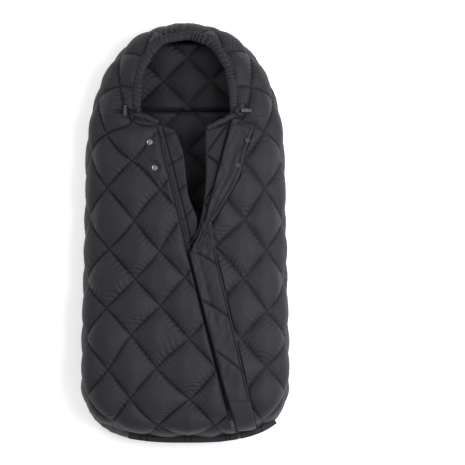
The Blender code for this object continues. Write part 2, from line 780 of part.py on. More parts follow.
def zip_parts(tape, teeth, stop):
    length = zip_length()
    left = [zip_run(0.0), zip_run(length)]
    left_teeth = [zip_run(TEETH_START), zip_run(length - TEETH_END)]
    joined = open_distance()
    below = [zip_run(joined + NEAR_BEND), zip_run(length)]
    below_teeth = [below[0], zip_run(length - TEETH_END)]
    tape_bar = [bar(TAPE_INNER, TAPE_OUTER, TAPE_THICKNESS, side) for side in (-1, 1)]
    teeth_bar = [bar(TEETH_INNER, TEETH_OUTER, TEETH_HEIGHT, side) for side in (-1, 1)]
    sweep("zip_tape_left", left[::-1], tape_bar[0], tape)
    sweep("zip_teeth_left", left_teeth[::-1], teeth_bar[0], teeth)
    sweep("zip_tape_right", (right_tape_path(0.0) + below)[::-1], tape_bar[1], tape)
    sweep("zip_teeth_right", (right_tape_path(TEETH_START) + below_teeth)[::-1], teeth_bar[1], teeth)
    zip_stops(stop)


def zip_stops(metal):
    """A stop above each tape's first tooth, and one across both tapes at the bottom."""
    tall = TEETH_HEIGHT / 2 + STOP_PROUD
    tops = (("left", -1, zip_frame(TEETH_START - TOP_STOP_STEP)), ("right", 1, right_stop_frame()))
    for name, side, frame in tops:
        low_x, high_x = sorted((side * TEETH_INNER, side * TEETH_OUTER))
        box = ((low_x, -STOP_HALF_LENGTH, -tall), (high_x, STOP_HALF_LENGTH, tall))
        boxes("zip_top_stop_" + name, [box], [], frame, metal)
    box = ((-TEETH_OUTER, -STOP_HALF_LENGTH, -tall), (TEETH_OUTER, STOP_HALF_LENGTH, tall))
    boxes("zip_bottom_stop", [box], [], zip_frame(zip_length() - STOP_HALF_LENGTH), metal)


def right_stop_frame():
    """A frame on the right tape, just above its teeth."""
    path = right_tape_path(TEETH_START)
    towards_head = (path[0] - path[1]).normalized()
    right = towards_head.cross(UP).normalized()
    axes = Matrix((right, towards_head, right.cross(towards_head))).transposed().to_4x4()
    return Matrix.Translation(path[0] + towards_head * TOP_STOP_STEP) @ axes


def slider_boxes(bridge_y):
    """The boxes of one slider: two plates, the post between them, and the bridge's two legs and top."""
    half, wide, clear, top = SLIDER_HALF_LENGTH, SLIDER_HALF_WIDTH, SLIDER_HALF_TUNNEL, SLIDER_TOP
    joined = [((-wide, -half, clear), (wide, half, top)), ((-wide, -half, -top), (wide, half, -clear))]
    post = clear + OVERLAP
    joined.append(((-POST_HALF_WIDTH, POST_SPAN[0], -post), (POST_HALF_WIDTH, POST_SPAN[1], post)))
    bridge_top = top + BRIDGE_HEIGHT
    spans = (
        (-BRIDGE_HALF_LENGTH, -BRIDGE_HALF_SPAN, top - OVERLAP),
        (BRIDGE_HALF_SPAN, BRIDGE_HALF_LENGTH, top - OVERLAP),
        (-BRIDGE_HALF_LENGTH, BRIDGE_HALF_LENGTH, bridge_top - BRIDGE_THICKNESS),
    )
    for start, end, low in spans:
        corner = (-BRIDGE_HALF_WIDTH, bridge_y + start, low)
        joined.append((corner, (BRIDGE_HALF_WIDTH, bridge_y + end, bridge_top)))
    return joined


def puller_boxes(grip_end):
    """The boxes of one puller, a bar between two arms and a flat grip, and the hole through the grip."""
    wire, wide = PULLER_WIRE, PULLER_HALF_WIDTH
    arms = [((-wide, -wire, -wire), (wide, wire, wire))]
    for low_x, high_x in ((-wide, 2 * wire - wide), (wide - 2 * wire, wide)):
        arms.append(((low_x, -wire, -wire), (high_x, GRIP_START + 2 * wire, wire)))
    thick = GRIP_HALF_THICKNESS
    arms.append(((-GRIP_HALF_WIDTH, GRIP_START, -thick), (GRIP_HALF_WIDTH, grip_end, thick)))
    hole = ((-0.0015, grip_end - 0.0060, -2 * thick), (0.0015, grip_end - 0.0030, 2 * thick))
    return arms, [hole]


def slider(name, puller_name, distance, heads_up, grip_end, metal, puller_surface):
    """A slider, and the puller that swings on its bridge. heads_up puts the open end at the head."""
    bridge_y = 0.0 if heads_up else LOWER_BRIDGE_SHIFT
    turn = Matrix.Identity(4) if heads_up else Matrix.Rotation(math.pi, 4, "Z")
    frame = zip_frame(distance) @ turn
    body = boxes(name, slider_boxes(bridge_y), [], frame, metal)
    set_pivot(body, frame.translation)

    pivot = frame @ Vector((0.0, bridge_y + PULLER_PIVOT[0], SLIDER_TOP + PULLER_PIVOT[1]))
    rest = Matrix.Translation(pivot) @ frame.to_3x3().to_4x4()
    puller = boxes(puller_name, *puller_boxes(grip_end), rest, puller_surface)
    set_pivot(puller, pivot, body)


def inner_placket(surface):
    """The padded strip that backs the closed zip."""
    start, end = open_distance() + 0.012, zip_length() - 0.006
    route = [zip_run(lerp(start, end, k / 6)) - UP * PLACKET_SUNK for k in range(7)]
    sweep("inner_placket", route, bar(-PLACKET_HALF_WIDTH, PLACKET_HALF_WIDTH, PLACKET_THICKNESS, 1), surface)


def wind_flap(surface):
    """The flap inside the zip's left half, hinged beside the teeth."""
    hinge = wind_flap_hinge()
    sewn = [p.xy for p in hinge]
    free = [Vector(p) for p in ((-0.0223, 0.2300), (-0.0035, 0.1780), (0.0082, 0.0844), (0.0280, 0.0281))]
    free.append(Vector((0.0230, -0.0030)))
    low = WIND_FLAP_THICKNESS / 2

    def height(point):
        share = (hinge[0].y - point.y) / (hinge[0].y - hinge[1].y)
        return lerp(hinge[0].z, hinge[1].z, share) - low

    made = flap("wind_flap", sewn, free, height, WIND_FLAP_THICKNESS, surface, 14, 4)
    set_pivot(made, hinge[1])


def wind_flap_hinge():
    """The two ends of the wind flap's hinge line, from the neck to just above the slider's rest."""
    places = (0.004, open_distance() - 0.014)
    return [zip_frame(place) @ Vector((WIND_FLAP_OFFSET, 0.0, 0.0)) for place in places]


# ---- Fittings ---------------------------------------------------------------------------------


def surface_frame(x, y, turn=0.0, lift=0.0):
    """A frame on the bag: +Z out of the surface, +X turned from the bag's +X by turn."""
    out = surface_normal(x, y)
    across = Vector((math.cos(turn), math.sin(turn), 0.0))
    across = (across - out * across.dot(out)).normalized()
    axes = Matrix((across, out.cross(across), out)).transposed().to_4x4()
    return Matrix.Translation(surface_point(x, y) + out * lift) @ axes


def snap_fasteners(metal, dark):
    """Two studs on the left front, and two sockets on the storm flap that they would close on."""
    stud = [(0.0, 0.0), (SNAP_RADIUS, 0.0), (SNAP_RADIUS, 0.0012), (0.0058, 0.0020), (0.0046, 0.0016)]
    stud += [(0.0022, 0.0012), (0.0022, 0.0030), (0.0016, 0.0038), (0.0, 0.0040)]
    for name, spot in (("snap_stud_upper", (-0.0808, 0.2040)), ("snap_stud_lower", (-0.0690, 0.1450))):
        turned(name, stud, surface_frame(*spot, lift=0.0006), metal)
    socket = [(0.0, 0.0), (0.0060, 0.0), (0.0060, 0.0016), (0.0050, 0.0022), (0.0030, 0.0022)]
    socket += [(0.0028, 0.0009), (0.0, 0.0009)]
    lift = FLAP_LIFT + FLAP_THICKNESS + 0.0008
    for name, spot in (("snap_socket_upper", (0.1420, 0.2080)), ("snap_socket_lower", (0.1200, 0.1500))):
        turned(name, socket, surface_frame(*spot, lift=lift), dark)


def eyelets(metal):
    ring = [(0.0036, 0.0), (0.0054, 0.0), (0.0054, 0.0008), (0.0046, 0.0014), (0.0036, 0.0010)]
    for name, side in (("eyelet_left", -1), ("eyelet_right", 1)):
        turned(name, ring, eyelet_frame(side), metal)


def eyelet_frame(side):
    return surface_frame(side * OPENING_HALF_WIDTH, EYELET_Y, lift=EYELET_LIFT)


def mirrored_box(half_x, span_y, half_z):
    """A box that is centred in X and Z."""
    return ((-half_x, span_y[0], -half_z), (half_x, span_y[1], half_z))


def cord_lock(side, frame, shell, button, steel):
    """A spring cord lock. In its frame the cord runs along X, and the button looks along +Y."""
    name = "cord_lock_" + side
    block_box = mirrored_box(LOCK_HALF_WIDTH, LOCK_SPAN, LOCK_HALF_HEIGHT)
    well = mirrored_box(WELL_HALF_WIDTH, (WELL_END, LOCK_SPAN[1] + 2 * OVERLAP), WELL_HALF_HEIGHT)
    slot_y = (-SLOT_HALF_LENGTH, SLOT_HALF_LENGTH)
    slot = mirrored_box(LOCK_HALF_WIDTH + 2 * OVERLAP, slot_y, SLOT_HALF_HEIGHT)
    body = boxes(name + "_body", [block_box], [well, slot], frame, shell)
    set_pivot(body, frame.translation)

    stem = mirrored_box(BUTTON_HALF_WIDTH, BUTTON_SPAN, BUTTON_HALF_HEIGHT)
    head = mirrored_box(BUTTON_HEAD_HALF_WIDTH, BUTTON_HEAD_SPAN, BUTTON_HEAD_HALF_HEIGHT)
    long_slot = (-SLOT_HALF_LENGTH, SLOT_HALF_LENGTH + BUTTON_TRAVEL)
    window = mirrored_box(BUTTON_HALF_WIDTH + 2 * OVERLAP, long_slot, SLOT_HALF_HEIGHT)
    plunger = boxes(name + "_button", [stem, head], [window], frame, button)
    set_pivot(plunger, frame.translation, body)
    spring(name + "_spring", frame, steel)


def spring(name, frame, steel, steps=14):
    """The coil spring behind a lock's button."""
    coil = []
    for k in range(SPRING_TURNS * steps + 1):
        turn = 2 * math.pi * k / steps
        height = lerp(*SPRING_SPAN, k / (SPRING_TURNS * steps))
        coil.append(frame @ Vector((SPRING_RADIUS * math.cos(turn), height, SPRING_RADIUS * math.sin(turn))))
    tube(name, coil, SPRING_WIRE, steel, 1)


def left_lock_frame():
    """The left lock's frame, with its cord running out to the left and its button looking to the head."""
    return surface_frame(-0.1355, EYELET_Y, math.pi, LOCK_LIFT) @ Matrix.Rotation(math.pi, 4, "X")


def right_lock_frame():
    """The right lock's frame, with its cord running to the foot and its button looking to the right."""
    return surface_frame(0.1400, EYELET_Y, -math.pi / 2, LOCK_LIFT)


def left_cord_points():
    """The left cord's route: out of the eyelet, through the lock, round and back."""
    lock = left_lock_frame()
    start = eyelet_frame(-1)
    apart = CORD_HALF_SPREAD
    out = [start @ Vector((0.0, -apart, 0.0016)), start @ Vector((0.0, -apart, 0.0034))]
    out += [lock @ Vector((x, -apart, 0.0)) for x in (-0.0150, -0.0060, 0.0060, 0.0140)]
    out += [lock @ Vector((x, -y, 0.0)) for x, y in ((0.0180, 0.0036), (0.0225, 0.0040), (0.0253, 0.0))]
    back = [lock @ Vector((x, y, 0.0)) for x, y in ((0.0225, 0.0040), (0.0180, 0.0036))]
    back += [lock @ Vector((x, apart, 0.0)) for x in (0.0140, 0.0060, -0.0060, -0.0150)]
    back += [start @ Vector((0.0, apart, 0.0034)), start @ Vector((0.0, apart, 0.0016))]
    return out + back


def right_cord_points():
    """The right cord's route: a small loop out of the eyelet, down through the lock and back."""
    lock = right_lock_frame()
    start = eyelet_frame(1)
    out = [start @ Vector((0.0, CORD_HALF_SPREAD, 0.0016)), start @ Vector((0.0012, 0.0024, 0.0040))]
    out += [lock @ Vector((-0.0130, -0.0160, 0.0004)), lock @ Vector((-0.0195, -0.0085, 0.0))]
    out += [lock @ Vector((-0.0165, -0.0020, 0.0)), lock @ Vector((-0.0100, 0.0, 0.0))]
    back = [lock @ Vector((0.0100, 0.0, 0.0)), lock @ Vector((0.0165, -0.0020, 0.0))]
    back += [lock @ Vector((0.0195, -0.0085, 0.0)), lock @ Vector((0.0130, -0.0160, 0.0004))]
    back += [start @ Vector((0.0012, -0.0024, 0.0040)), start @ Vector((0.0, -CORD_HALF_SPREAD, 0.0016))]
    return out + back


def drawstring(cord, shell, button, steel):
    tube("drawcord_left", smooth_route(left_cord_points(), CORD_STEP), CORD_RADIUS, cord)
    tube("drawcord_right", smooth_route(right_cord_points(), CORD_STEP), CORD_RADIUS, cord)
    cord_lock("left", left_lock_frame(), shell, button, steel)
    cord_lock("right", right_lock_frame(), shell, button, steel)


def main():
    clear_scene()
    nylon = material("quilted_nylon", (0.034, 0.033, 0.038), 0.55)
    inner_nylon = material("lining_nylon", (0.020, 0.020, 0.024), 0.60)
    tape = material("zip_tape", (0.018, 0.018, 0.020), 0.80)
    teeth = material("zip_teeth", (0.020, 0.020, 0.022), 0.35)
    dark_metal = material("dark_metal", (0.06, 0.06, 0.065), 0.35, 1.0)
    pale_metal = material("pale_metal", (0.45, 0.45, 0.47), 0.35, 1.0)
    chrome = material("snap_chrome", (0.75, 0.75, 0.76), 0.18, 1.0)
    lock_plastic = material("lock_plastic", (0.22, 0.22, 0.24), 0.40)
    button_plastic = material("button_plastic", (0.30, 0.30, 0.32), 0.40)
    cord = material("elastic_cord", (0.015, 0.015, 0.017), 0.85)
    steel = material("spring_steel", (0.5, 0.5, 0.5), 0.3, 1.0)

    back_panel(nylon)
    lining("back_lining", -0.440, 0.2845, inner_nylon, 0.027)
    lining("head_lining", 0.2875, 0.446, inner_nylon, 0.033)
    front_panels(nylon)
    hood_shell(nylon)
    hood_tunnel(nylon, cord)
    foot_gusset(nylon)
    neck_bands(nylon)
    right_facing(nylon)
    storm_flaps(nylon)
    wind_flap(nylon)
    inner_placket(nylon)
    zip_parts(tape, teeth, dark_metal)
    slider("upper_slider", "upper_puller", open_distance(), True, UPPER_GRIP_END, dark_metal, dark_metal)
    low = zip_length() - LOWER_SLIDER_END
    slider("lower_slider", "lower_puller", low, False, LOWER_GRIP_END, dark_metal, pale_metal)
    snap_fasteners(chrome, dark_metal)
    eyelets(dark_metal)
    drawstring(cord, lock_plastic, button_plastic, steel)


main()
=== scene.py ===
"""The looks of a quilted stroller footmuff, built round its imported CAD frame.

Metres. +Z is up, +Y points to the head end and +X to the right, seen from above. The shape's constants and
formulas repeat those of the CAD, so that every sewn piece lies where its solid does.
"""

import math

import bpy
import numpy as np
from mathutils import Matrix, Vector


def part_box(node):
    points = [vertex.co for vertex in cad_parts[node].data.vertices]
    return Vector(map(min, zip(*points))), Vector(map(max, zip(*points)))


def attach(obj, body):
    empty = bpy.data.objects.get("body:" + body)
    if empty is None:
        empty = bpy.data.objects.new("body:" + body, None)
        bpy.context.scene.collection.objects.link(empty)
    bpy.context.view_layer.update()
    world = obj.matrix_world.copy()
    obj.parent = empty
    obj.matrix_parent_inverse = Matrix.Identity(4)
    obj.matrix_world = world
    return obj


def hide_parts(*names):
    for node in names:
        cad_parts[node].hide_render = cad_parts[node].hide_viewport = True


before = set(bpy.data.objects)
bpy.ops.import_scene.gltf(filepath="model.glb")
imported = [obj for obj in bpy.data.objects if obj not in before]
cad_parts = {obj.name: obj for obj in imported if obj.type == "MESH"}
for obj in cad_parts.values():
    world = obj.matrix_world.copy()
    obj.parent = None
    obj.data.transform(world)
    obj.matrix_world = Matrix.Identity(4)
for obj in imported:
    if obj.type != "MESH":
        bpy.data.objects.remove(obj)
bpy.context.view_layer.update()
BASE_LOW, BASE_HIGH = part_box("back_panel")

# ---- The shape, as in the CAD ----

LENGTH = BASE_HIGH.y - BASE_LOW.y
WIDTH = BASE_HIGH.x - BASE_LOW.x
SHOULDER_WIDTH = 0.464
SEAM_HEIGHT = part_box("hood_shell")[0].z
HEIGHT = 0.145
SHELL_THICKNESS = 0.018
HEAD_CENTRE_Y = 0.14
HEAD_ROUNDNESS = 2.3
HEAD_REACH = LENGTH / 2 - HEAD_CENTRE_Y
FOOT_CENTRE_Y = -0.33
FOOT_ROUNDNESS = 2.85
FOOT_SETBACK = 0.018
FOOT_REACH = LENGTH / 2 + FOOT_CENTRE_Y - FOOT_SETBACK
HEM_HEIGHT = 0.066
HEM_CLIMB = (0.25, 1.0)
BODY_CROWN = 3.0
FOOT_CROWN = 4.5
CROWN_CHANGE_Y = -0.05  # from here down the one crown turns into the other, over CROWN_CHANGE
CROWN_CHANGE = 0.25
NECK_SIDE_Y = 0.272
NECK_LEFT = (-0.0654, 0.251)  # 4 mm above the CAD's, to end under the bound edge
NECK_RIGHT = (0.1065, 0.2605)
ZIP_TOP = (-0.0574, 0.225)
ZIP_BOTTOM = (0.1066, -0.4313)
ZIP_OPEN_Y = -0.035
CHANNEL_HALF_WIDTH = 0.008
CHANNEL_DEPTH = 0.008
TEETH_START = 0.024
TEETH_END = 0.004
SEAM_GAP = 0.0012
BEND_ROOM = 0.008  # how far the right front draws back where its tape bends away from the zip
BEND_REACH = 0.05
LEFT_OVERHANG = 0.0025  # how far the left front's puffed edge leans over the zip, in the looks only
HEM_CLOSING = 0.009  # and how much further at the hem, over HEM_CLOSING_LENGTH
HEM_CLOSING_LENGTH = 0.02
RIGHT_TAPE_BEND = (0.046, 0.015)
RIGHT_TAPE_TOP = (0.098, 0.228)
FLAP_THICKNESS = 0.008
FLAP_LIFT = 0.0015
TUNNEL_HALF_WIDTH = 0.0115
TUNNEL_SUNK = 0.004
OPENING_HALF_WIDTH = 0.1125
OPENING_CENTRE_Y = 0.30
OPENING_REACH = 0.156
OPENING_ROUNDNESS = 2.2
OPENING_START_Y = 0.2645
CORD_RADIUS = 0.0012
EYELET_Y = 0.277

# ---- The quilting ----

DIAMOND_HALF_WIDTH = 0.0633
DIAMOND_HALF_LENGTH = 0.0689
LATTICE_U = 0.0059
LATTICE_V = -0.2470
LINE_SPACING = 1.0 / math.hypot(0.5 / DIAMOND_HALF_WIDTH, 0.5 / DIAMOND_HALF_LENGTH)
PUFF_HEIGHT = 0.0145
PUFF_SUNK = 0.50  # the share of a puff's height by which its stitch lines lie below the CAD surface
DOME_ROW_DEGREES = 24.45  # two rows of diamonds round the dome of the hood
DOME_SHIFT = 0.0115  # how far those rows are moved along, in full from DOME_SHIFT_DEGREES on
DOME_SHIFT_DEGREES = 16.0
LINE_WANDER = 0.0030  # how far the stitch lines stray, in waves of WANDER_SIZE
WANDER_SIZE = 0.20
PUCKER_HEIGHT = 0.0017
DENT_HEIGHT = 0.0007
WRINKLE_HEIGHT = 0.0006
WRINKLE_PITCH = 0.0100
WRINKLE_BEND = 0.020
RIM_START = 0.86  # of the gauge; from here out the puffs flatten, by up to RIM_FLATTENING
RIM_FLATTENING = 0.40
PRESSED_BY_FLAP = -0.0045  # the height of the cloth under a storm flap, and at a snap
PRESSED_BY_SNAP = -0.0004
EDGE_FADE = 0.016  # from an edge to where the puffs reach their full height
TURNED_EDGE = 0.010
TURNED_EDGE_STEPS = 3


def lerp(a, b, share):
    return a + (b - a) * share


def unit(vectors):
    """The vectors at a length of 1."""
    return vectors / np.maximum(np.linalg.norm(vectors, axis=-1, keepdims=True), 1e-12)


def raised(plan, height):
    """Points from their places in plan, as an array of x and y, and their heights."""
    return np.concatenate([plan, height[..., None]], -1)


def blend_steps(value):
    """0 to 1 with a level start and end."""
    value = np.clip(value, 0.0, 1.0)
    return value * value * (3.0 - 2.0 * value)


def half_width(y):
    """From the middle line to the outline, on the body's straight stretch."""
    share = np.clip((y - FOOT_CENTRE_Y) / (HEAD_CENTRE_Y - FOOT_CENTRE_Y), 0.0, 1.0)
    return lerp(WIDTH, SHOULDER_WIDTH, share) / 2


def gauge(x, y):
    """0 on the middle line and 1 on the front's outline."""
    head = np.clip((y - HEAD_CENTRE_Y) / HEAD_REACH, 0.0, None)
    foot = np.clip((FOOT_CENTRE_Y - y) / FOOT_REACH, 0.0, None)
    n = np.where(y > HEAD_CENTRE_Y, HEAD_ROUNDNESS, FOOT_ROUNDNESS)
    return ((np.abs(x) / half_width(y)) ** n + (head + foot) ** n) ** (1 / n)


def crown(y):
    """How square the bag's section is: the power of its superellipse."""
    return lerp(BODY_CROWN, FOOT_CROWN, blend_steps((CROWN_CHANGE_Y - y) / CROWN_CHANGE))


def surface_z(x, y):
    power = crown(y)
    rise = np.clip(1.0 - gauge(x, y) ** power, 0.0, None) ** (1 / power)
    return SEAM_HEIGHT + (HEIGHT - SEAM_HEIGHT) * rise


def on_surface(plan, lift=0.0):
    """Plan points, as an array of x and y, put on the surface of the bag."""
    plan = np.asarray(plan, float)
    return raised(plan, surface_z(plan[..., 0], plan[..., 1]) + lift)


def surface_normal(x, y, step=0.002):
    along_x = on_surface((x + step, y)) - on_surface((x - step, y))
    along_y = on_surface((x, y + step)) - on_surface((x, y - step))
    return unit(np.cross(along_x, along_y))


def end_points(angle, centre_y, reach, roundness):
    """Points of one round end of the outline; angle 0 is at +X, positive towards the head."""
    c, s = np.cos(angle), np.sin(angle)
    x = np.sign(c) * np.abs(c) ** (2 / roundness) * half_width(centre_y)
    y = centre_y + np.sign(s) * np.abs(s) ** (2 / roundness) * reach
    return np.stack([x, y], -1)


def head_points(angle):
    return end_points(np.asarray(angle), HEAD_CENTRE_Y, HEAD_REACH, HEAD_ROUNDNESS)


def foot_points(angle, setback=0.0):
    return end_points(np.asarray(angle), FOOT_CENTRE_Y, LENGTH / 2 + FOOT_CENTRE_Y - setback, FOOT_ROUNDNESS)


def head_angle(y):
    return np.arcsin(np.clip((y - HEAD_CENTRE_Y) / HEAD_REACH, 0.0, 1.0) ** (HEAD_ROUNDNESS / 2))


def foot_angle(x):
    return math.acos((abs(x) / half_width(FOOT_CENTRE_Y)) ** (FOOT_ROUNDNESS / 2))


def zip_x(y):
    return lerp(ZIP_TOP[0], ZIP_BOTTOM[0], (ZIP_TOP[1] - y) / (ZIP_TOP[1] - ZIP_BOTTOM[1]))


def right_edge_x(y):
    """The right front's inner edge, beside its tape."""
    rows = [ZIP_BOTTOM[1] - 0.06, ZIP_OPEN_Y, RIGHT_TAPE_BEND[1], RIGHT_TAPE_TOP[1]]
    places = [zip_x(rows[0]), zip_x(ZIP_OPEN_Y), RIGHT_TAPE_BEND[0], RIGHT_TAPE_TOP[0]]
    room = BEND_ROOM * blend_steps(1.6 - np.abs(y) / BEND_REACH)
    return np.interp(y, rows, places) + CHANNEL_HALF_WIDTH + SEAM_GAP + room


def left_edge_x(y):
    """The left front's inner edge."""
    closing = HEM_CLOSING * blend_steps((ZIP_BOTTOM[1] - y) / HEM_CLOSING_LENGTH)
    return zip_x(y) - CHANNEL_HALF_WIDTH + LEFT_OVERHANG + closing


def hem_height(angle):
    start, end = HEM_CLIMB
    return lerp(SEAM_HEIGHT, HEM_HEIGHT, blend_steps((angle - start) / (end - start)))


def opening_points(angle, offset=0.0):
    """The hood opening's arch; angle 0 is at +X."""
    c, s = np.cos(angle), np.abs(np.sin(angle))
    x = np.sign(c) * (OPENING_HALF_WIDTH + offset) * np.abs(c) ** (2 / OPENING_ROUNDNESS)
    return np.stack([x, OPENING_CENTRE_Y + (OPENING_REACH + offset) * s ** (2 / OPENING_ROUNDNESS)], -1)


def run_along(points):
    """How far along a polyline each of its points is."""
    return np.concatenate([[0.0], np.cumsum(np.linalg.norm(np.diff(points, axis=0), axis=1))])


def points_at(places, run, points):
    """The points of a polyline that lie at the given distances along it."""
    return np.stack([np.interp(places, run, column) for column in points.T], -1)


def resample(points, count):
    """Evenly spaced points on a polyline."""
    points = np.asarray(points, float)
    run = run_along(points)
    return points_at(np.linspace(0.0, run[-1], count), run, points)


def smooth_line(points, spacing):
    """Evenly spaced points on a smooth curve through the given ones, as an array."""
    points = np.asarray(points, float)
    padded = np.vstack([2 * points[0] - points[1], points, 2 * points[-1] - points[-2]])
    t = np.linspace(0.0, 1.0, 16, endpoint=False)[:, None]
    spans = []
    for a, b, c, d in zip(padded, padded[1:], padded[2:], padded[3:]):
        bend = (2 * a - 5 * b + 4 * c - d) * t**2 + (3 * b - a - 3 * c + d) * t**3
        spans.append(b + ((c - a) * t + bend) / 2)
    fine = np.vstack([*spans, points[-1:]])
    return resample(fine, max(3, round(run_along(fine)[-1] / spacing) + 1))


def ripples(u, v, size, seed, count=8):
    """Smooth noise of unit spread whose waves are about size metres long."""
    random = np.random.default_rng(seed)
    total = np.zeros(np.broadcast(u, v).shape)
    for _ in range(count):
        angle, phase = random.uniform(0, 2 * math.pi, 2)
        pitch = size * random.uniform(0.7, 1.6)
        total += np.sin((u * math.cos(angle) + v * math.sin(angle)) * 2 * math.pi / pitch + phase)
    return total / math.sqrt(count / 2)


# ---- Camera ----

CAMERA_TILT = math.radians(3)  # away from straight down, towards the foot
CAMERA_DISTANCE = 6.34
CAMERA_AIM = Vector((0.110, 0.001, 0.04))
CAMERA_LENS_MM = 210
CAMERA_SENSOR_MM = 36


def add_object(name, data):
    obj = bpy.data.objects.new(name, data)
    bpy.context.scene.collection.objects.link(obj)
    return obj


def make_camera():
    data = bpy.data.cameras.new("camera")
    data.lens = CAMERA_LENS_MM
    data.sensor_width = CAMERA_SENSOR_MM
    camera = add_object("camera", data)
    back = Vector((0.0, -math.sin(CAMERA_TILT), math.cos(CAMERA_TILT)))
    camera.location = CAMERA_AIM + back * CAMERA_DISTANCE
    camera.rotation_euler = back.to_track_quat("Z", "Y").to_euler()
    bpy.context.scene.camera = camera


# ---- Cords ----


def surface_frame(x, y, turn=0.0, lift=0.0):
    """A frame on the bag: +Z out of the surface, +X turned from the bag's +X by turn."""
    out = Vector(surface_normal(x, y))
    across = Vector((math.cos(turn), math.sin(turn), 0.0))
    across = (across - out * across.dot(out)).normalized()
    axes = Matrix((across, out.cross(across), out)).transposed().to_4x4()
    return Matrix.Translation(Vector(on_surface((x, y))) + out * lift) @ axes


def eyelet_frame(side):
    return surface_frame(side * OPENING_HALF_WIDTH, EYELET_Y, lift=0.0036)


def left_cord_points():
    lock = surface_frame(-0.1355, EYELET_Y, math.pi, 0.0052) @ Matrix.Rotation(math.pi, 4, "X")
    start = eyelet_frame(-1)
    apart = 0.0017
    out = [start @ Vector((0.0, -apart, 0.0016)), start @ Vector((0.0, -apart, 0.0034))]
    out += [lock @ Vector((x, -apart, 0.0)) for x in (-0.0150, -0.0060, 0.0060, 0.0140)]
    out += [lock @ Vector((x, -y, 0.0)) for x, y in ((0.0180, 0.0036), (0.0225, 0.0040), (0.0253, 0.0))]
    back = [lock @ Vector((x, y, 0.0)) for x, y in ((0.0225, 0.0040), (0.0180, 0.0036))]
    back += [lock @ Vector((x, apart, 0.0)) for x in (0.0140, 0.0060, -0.0060, -0.0150)]
    back += [start @ Vector((0.0, apart, 0.0034)), start @ Vector((0.0, apart, 0.0016))]
    return out + back


def right_cord_points():
    lock = surface_frame(0.1400, EYELET_Y, -math.pi / 2, 0.0052)
    start = eyelet_frame(1)
    out = [start @ Vector((0.0, 0.0017, 0.0016)), start @ Vector((0.0012, 0.0024, 0.0040))]
    out += [lock @ Vector((-0.0130, -0.0160, 0.0004)), lock @ Vector((-0.0195, -0.0085, 0.0))]
    out += [lock @ Vector((-0.0165, -0.0020, 0.0)), lock @ Vector((-0.0100, 0.0, 0.0))]
    back = [lock @ Vector((0.0100, 0.0, 0.0)), lock @ Vector((0.0165, -0.0020, 0.0))]
    back += [lock @ Vector((0.0195, -0.0085, 0.0)), lock @ Vector((0.0130, -0.0160, 0.0004))]
    back += [start @ Vector((0.0012, -0.0024, 0.0040)), start @ Vector((0.0, -0.0017, 0.0016))]
    return out + back


CORD_STEP = 0.0011


def make_cords(surface):
    """The two loops of drawcord, each of which runs through its lock."""
    for side, points in (("left", left_cord_points()), ("right", right_cord_points())):
        name = "drawcord_" + side
        route = smooth_line([tuple(point) for point in points], CORD_STEP)
        curve = bpy.data.curves.new(name + "_braid", "CURVE")
        curve.dimensions = "3D"
        curve.bevel_depth = CORD_RADIUS
        curve.bevel_resolution = 4
        curve.use_fill_caps = True
        spline = curve.splines.new("POLY")
        spline.points.add(len(route) - 1)
        for slot, point in zip(spline.points, route):
            slot.co = (*point, 1.0)
        spline.use_smooth = True
        curve.materials.append(surface)
        cord = add_object(name + "_braid", curve)
        place(cord, "root", "elastic_cord", name)


# ---- Mesh helpers ----


def place(obj, body, slot, *nodes, fill=None):
    """Hangs a piece on its body and hides the CAD nodes that it stands for; slot and fill are not used."""
    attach(obj, body)
    if nodes:
        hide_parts(*nodes)


def mesh_object(name, points, faces, surface, maps):
    """A smooth-shaded object; maps holds named sets of two coordinates for each vertex."""
    mesh = bpy.data.meshes.new(name)
    mesh.from_pydata(points.tolist(), [], faces)
    corners = np.zeros(len(mesh.loops), np.int64)
    mesh.loops.foreach_get("vertex_index", corners)
    for map_name, values in maps.items():
        layer = mesh.uv_layers.new(name=map_name)
        layer.data.foreach_set("uv", values[corners].astype(np.float32).ravel())
    mesh.materials.append(surface)
    mesh.shade_smooth()
    return add_object(name, mesh)


def grid_faces(rows, columns, wrap=False):
    """The squares of a grid of points; a wrapped one joins its last column to its first."""
    i, j = np.meshgrid(np.arange(rows - 1), np.arange(columns if wrap else columns - 1), indexing="ij")
    k = (j + 1) % columns
    quads = np.stack([i * columns + j, (i + 1) * columns + j, (i + 1) * columns + k, i * columns + k], -1)
    return quads.reshape(-1, 4).tolist()


def grid_object(name, points, surface, cloth, quilt=None, wrap=False):
    """A surface through a grid of points. A map may be a smaller grid, whose border is carried outwards."""
    maps = {}
    for map_name, pair in (("cloth", cloth), ("quilt", quilt)):
        if pair is not None:
            grid = np.stack(np.broadcast_arrays(*pair), -1)
            extra = [((size - own) // 2,) * 2 for size, own in zip(points.shape[:2], grid.shape)]
            maps[map_name] = np.pad(grid, (*extra, (0, 0)), mode="edge").reshape(-1, 2)
    return mesh_object(name, points.reshape(-1, 3), grid_faces(*points.shape[:2], wrap), surface, maps)


def grid_normals(points):
    """Unit normals of a grid of points, pointing up or outwards."""
    normal = unit(np.cross(np.gradient(points, axis=0), np.gradient(points, axis=1)))
    middle = normal[normal.shape[0] // 2, normal.shape[1] // 2]
    return normal if middle[2] > 0 else -normal


def grid_runs(points, axis):
    """The length along the grid's rows or columns, from its first border."""
    pad = [(0, 0), (0, 0)]
    pad[axis] = (1, 0)
    return np.pad(np.cumsum(np.linalg.norm(np.diff(points, axis=axis), axis=-1), axis=axis), pad)


def border_distance(points):
    """How far each point of a grid is from the grid's border, along its rows and columns."""
    nearest = []
    for axis in (0, 1):
        run = grid_runs(points, axis)
        total = np.take(run, [-1], axis=axis)
        nearest += [run, total - run]
    return np.minimum.reduce(nearest)


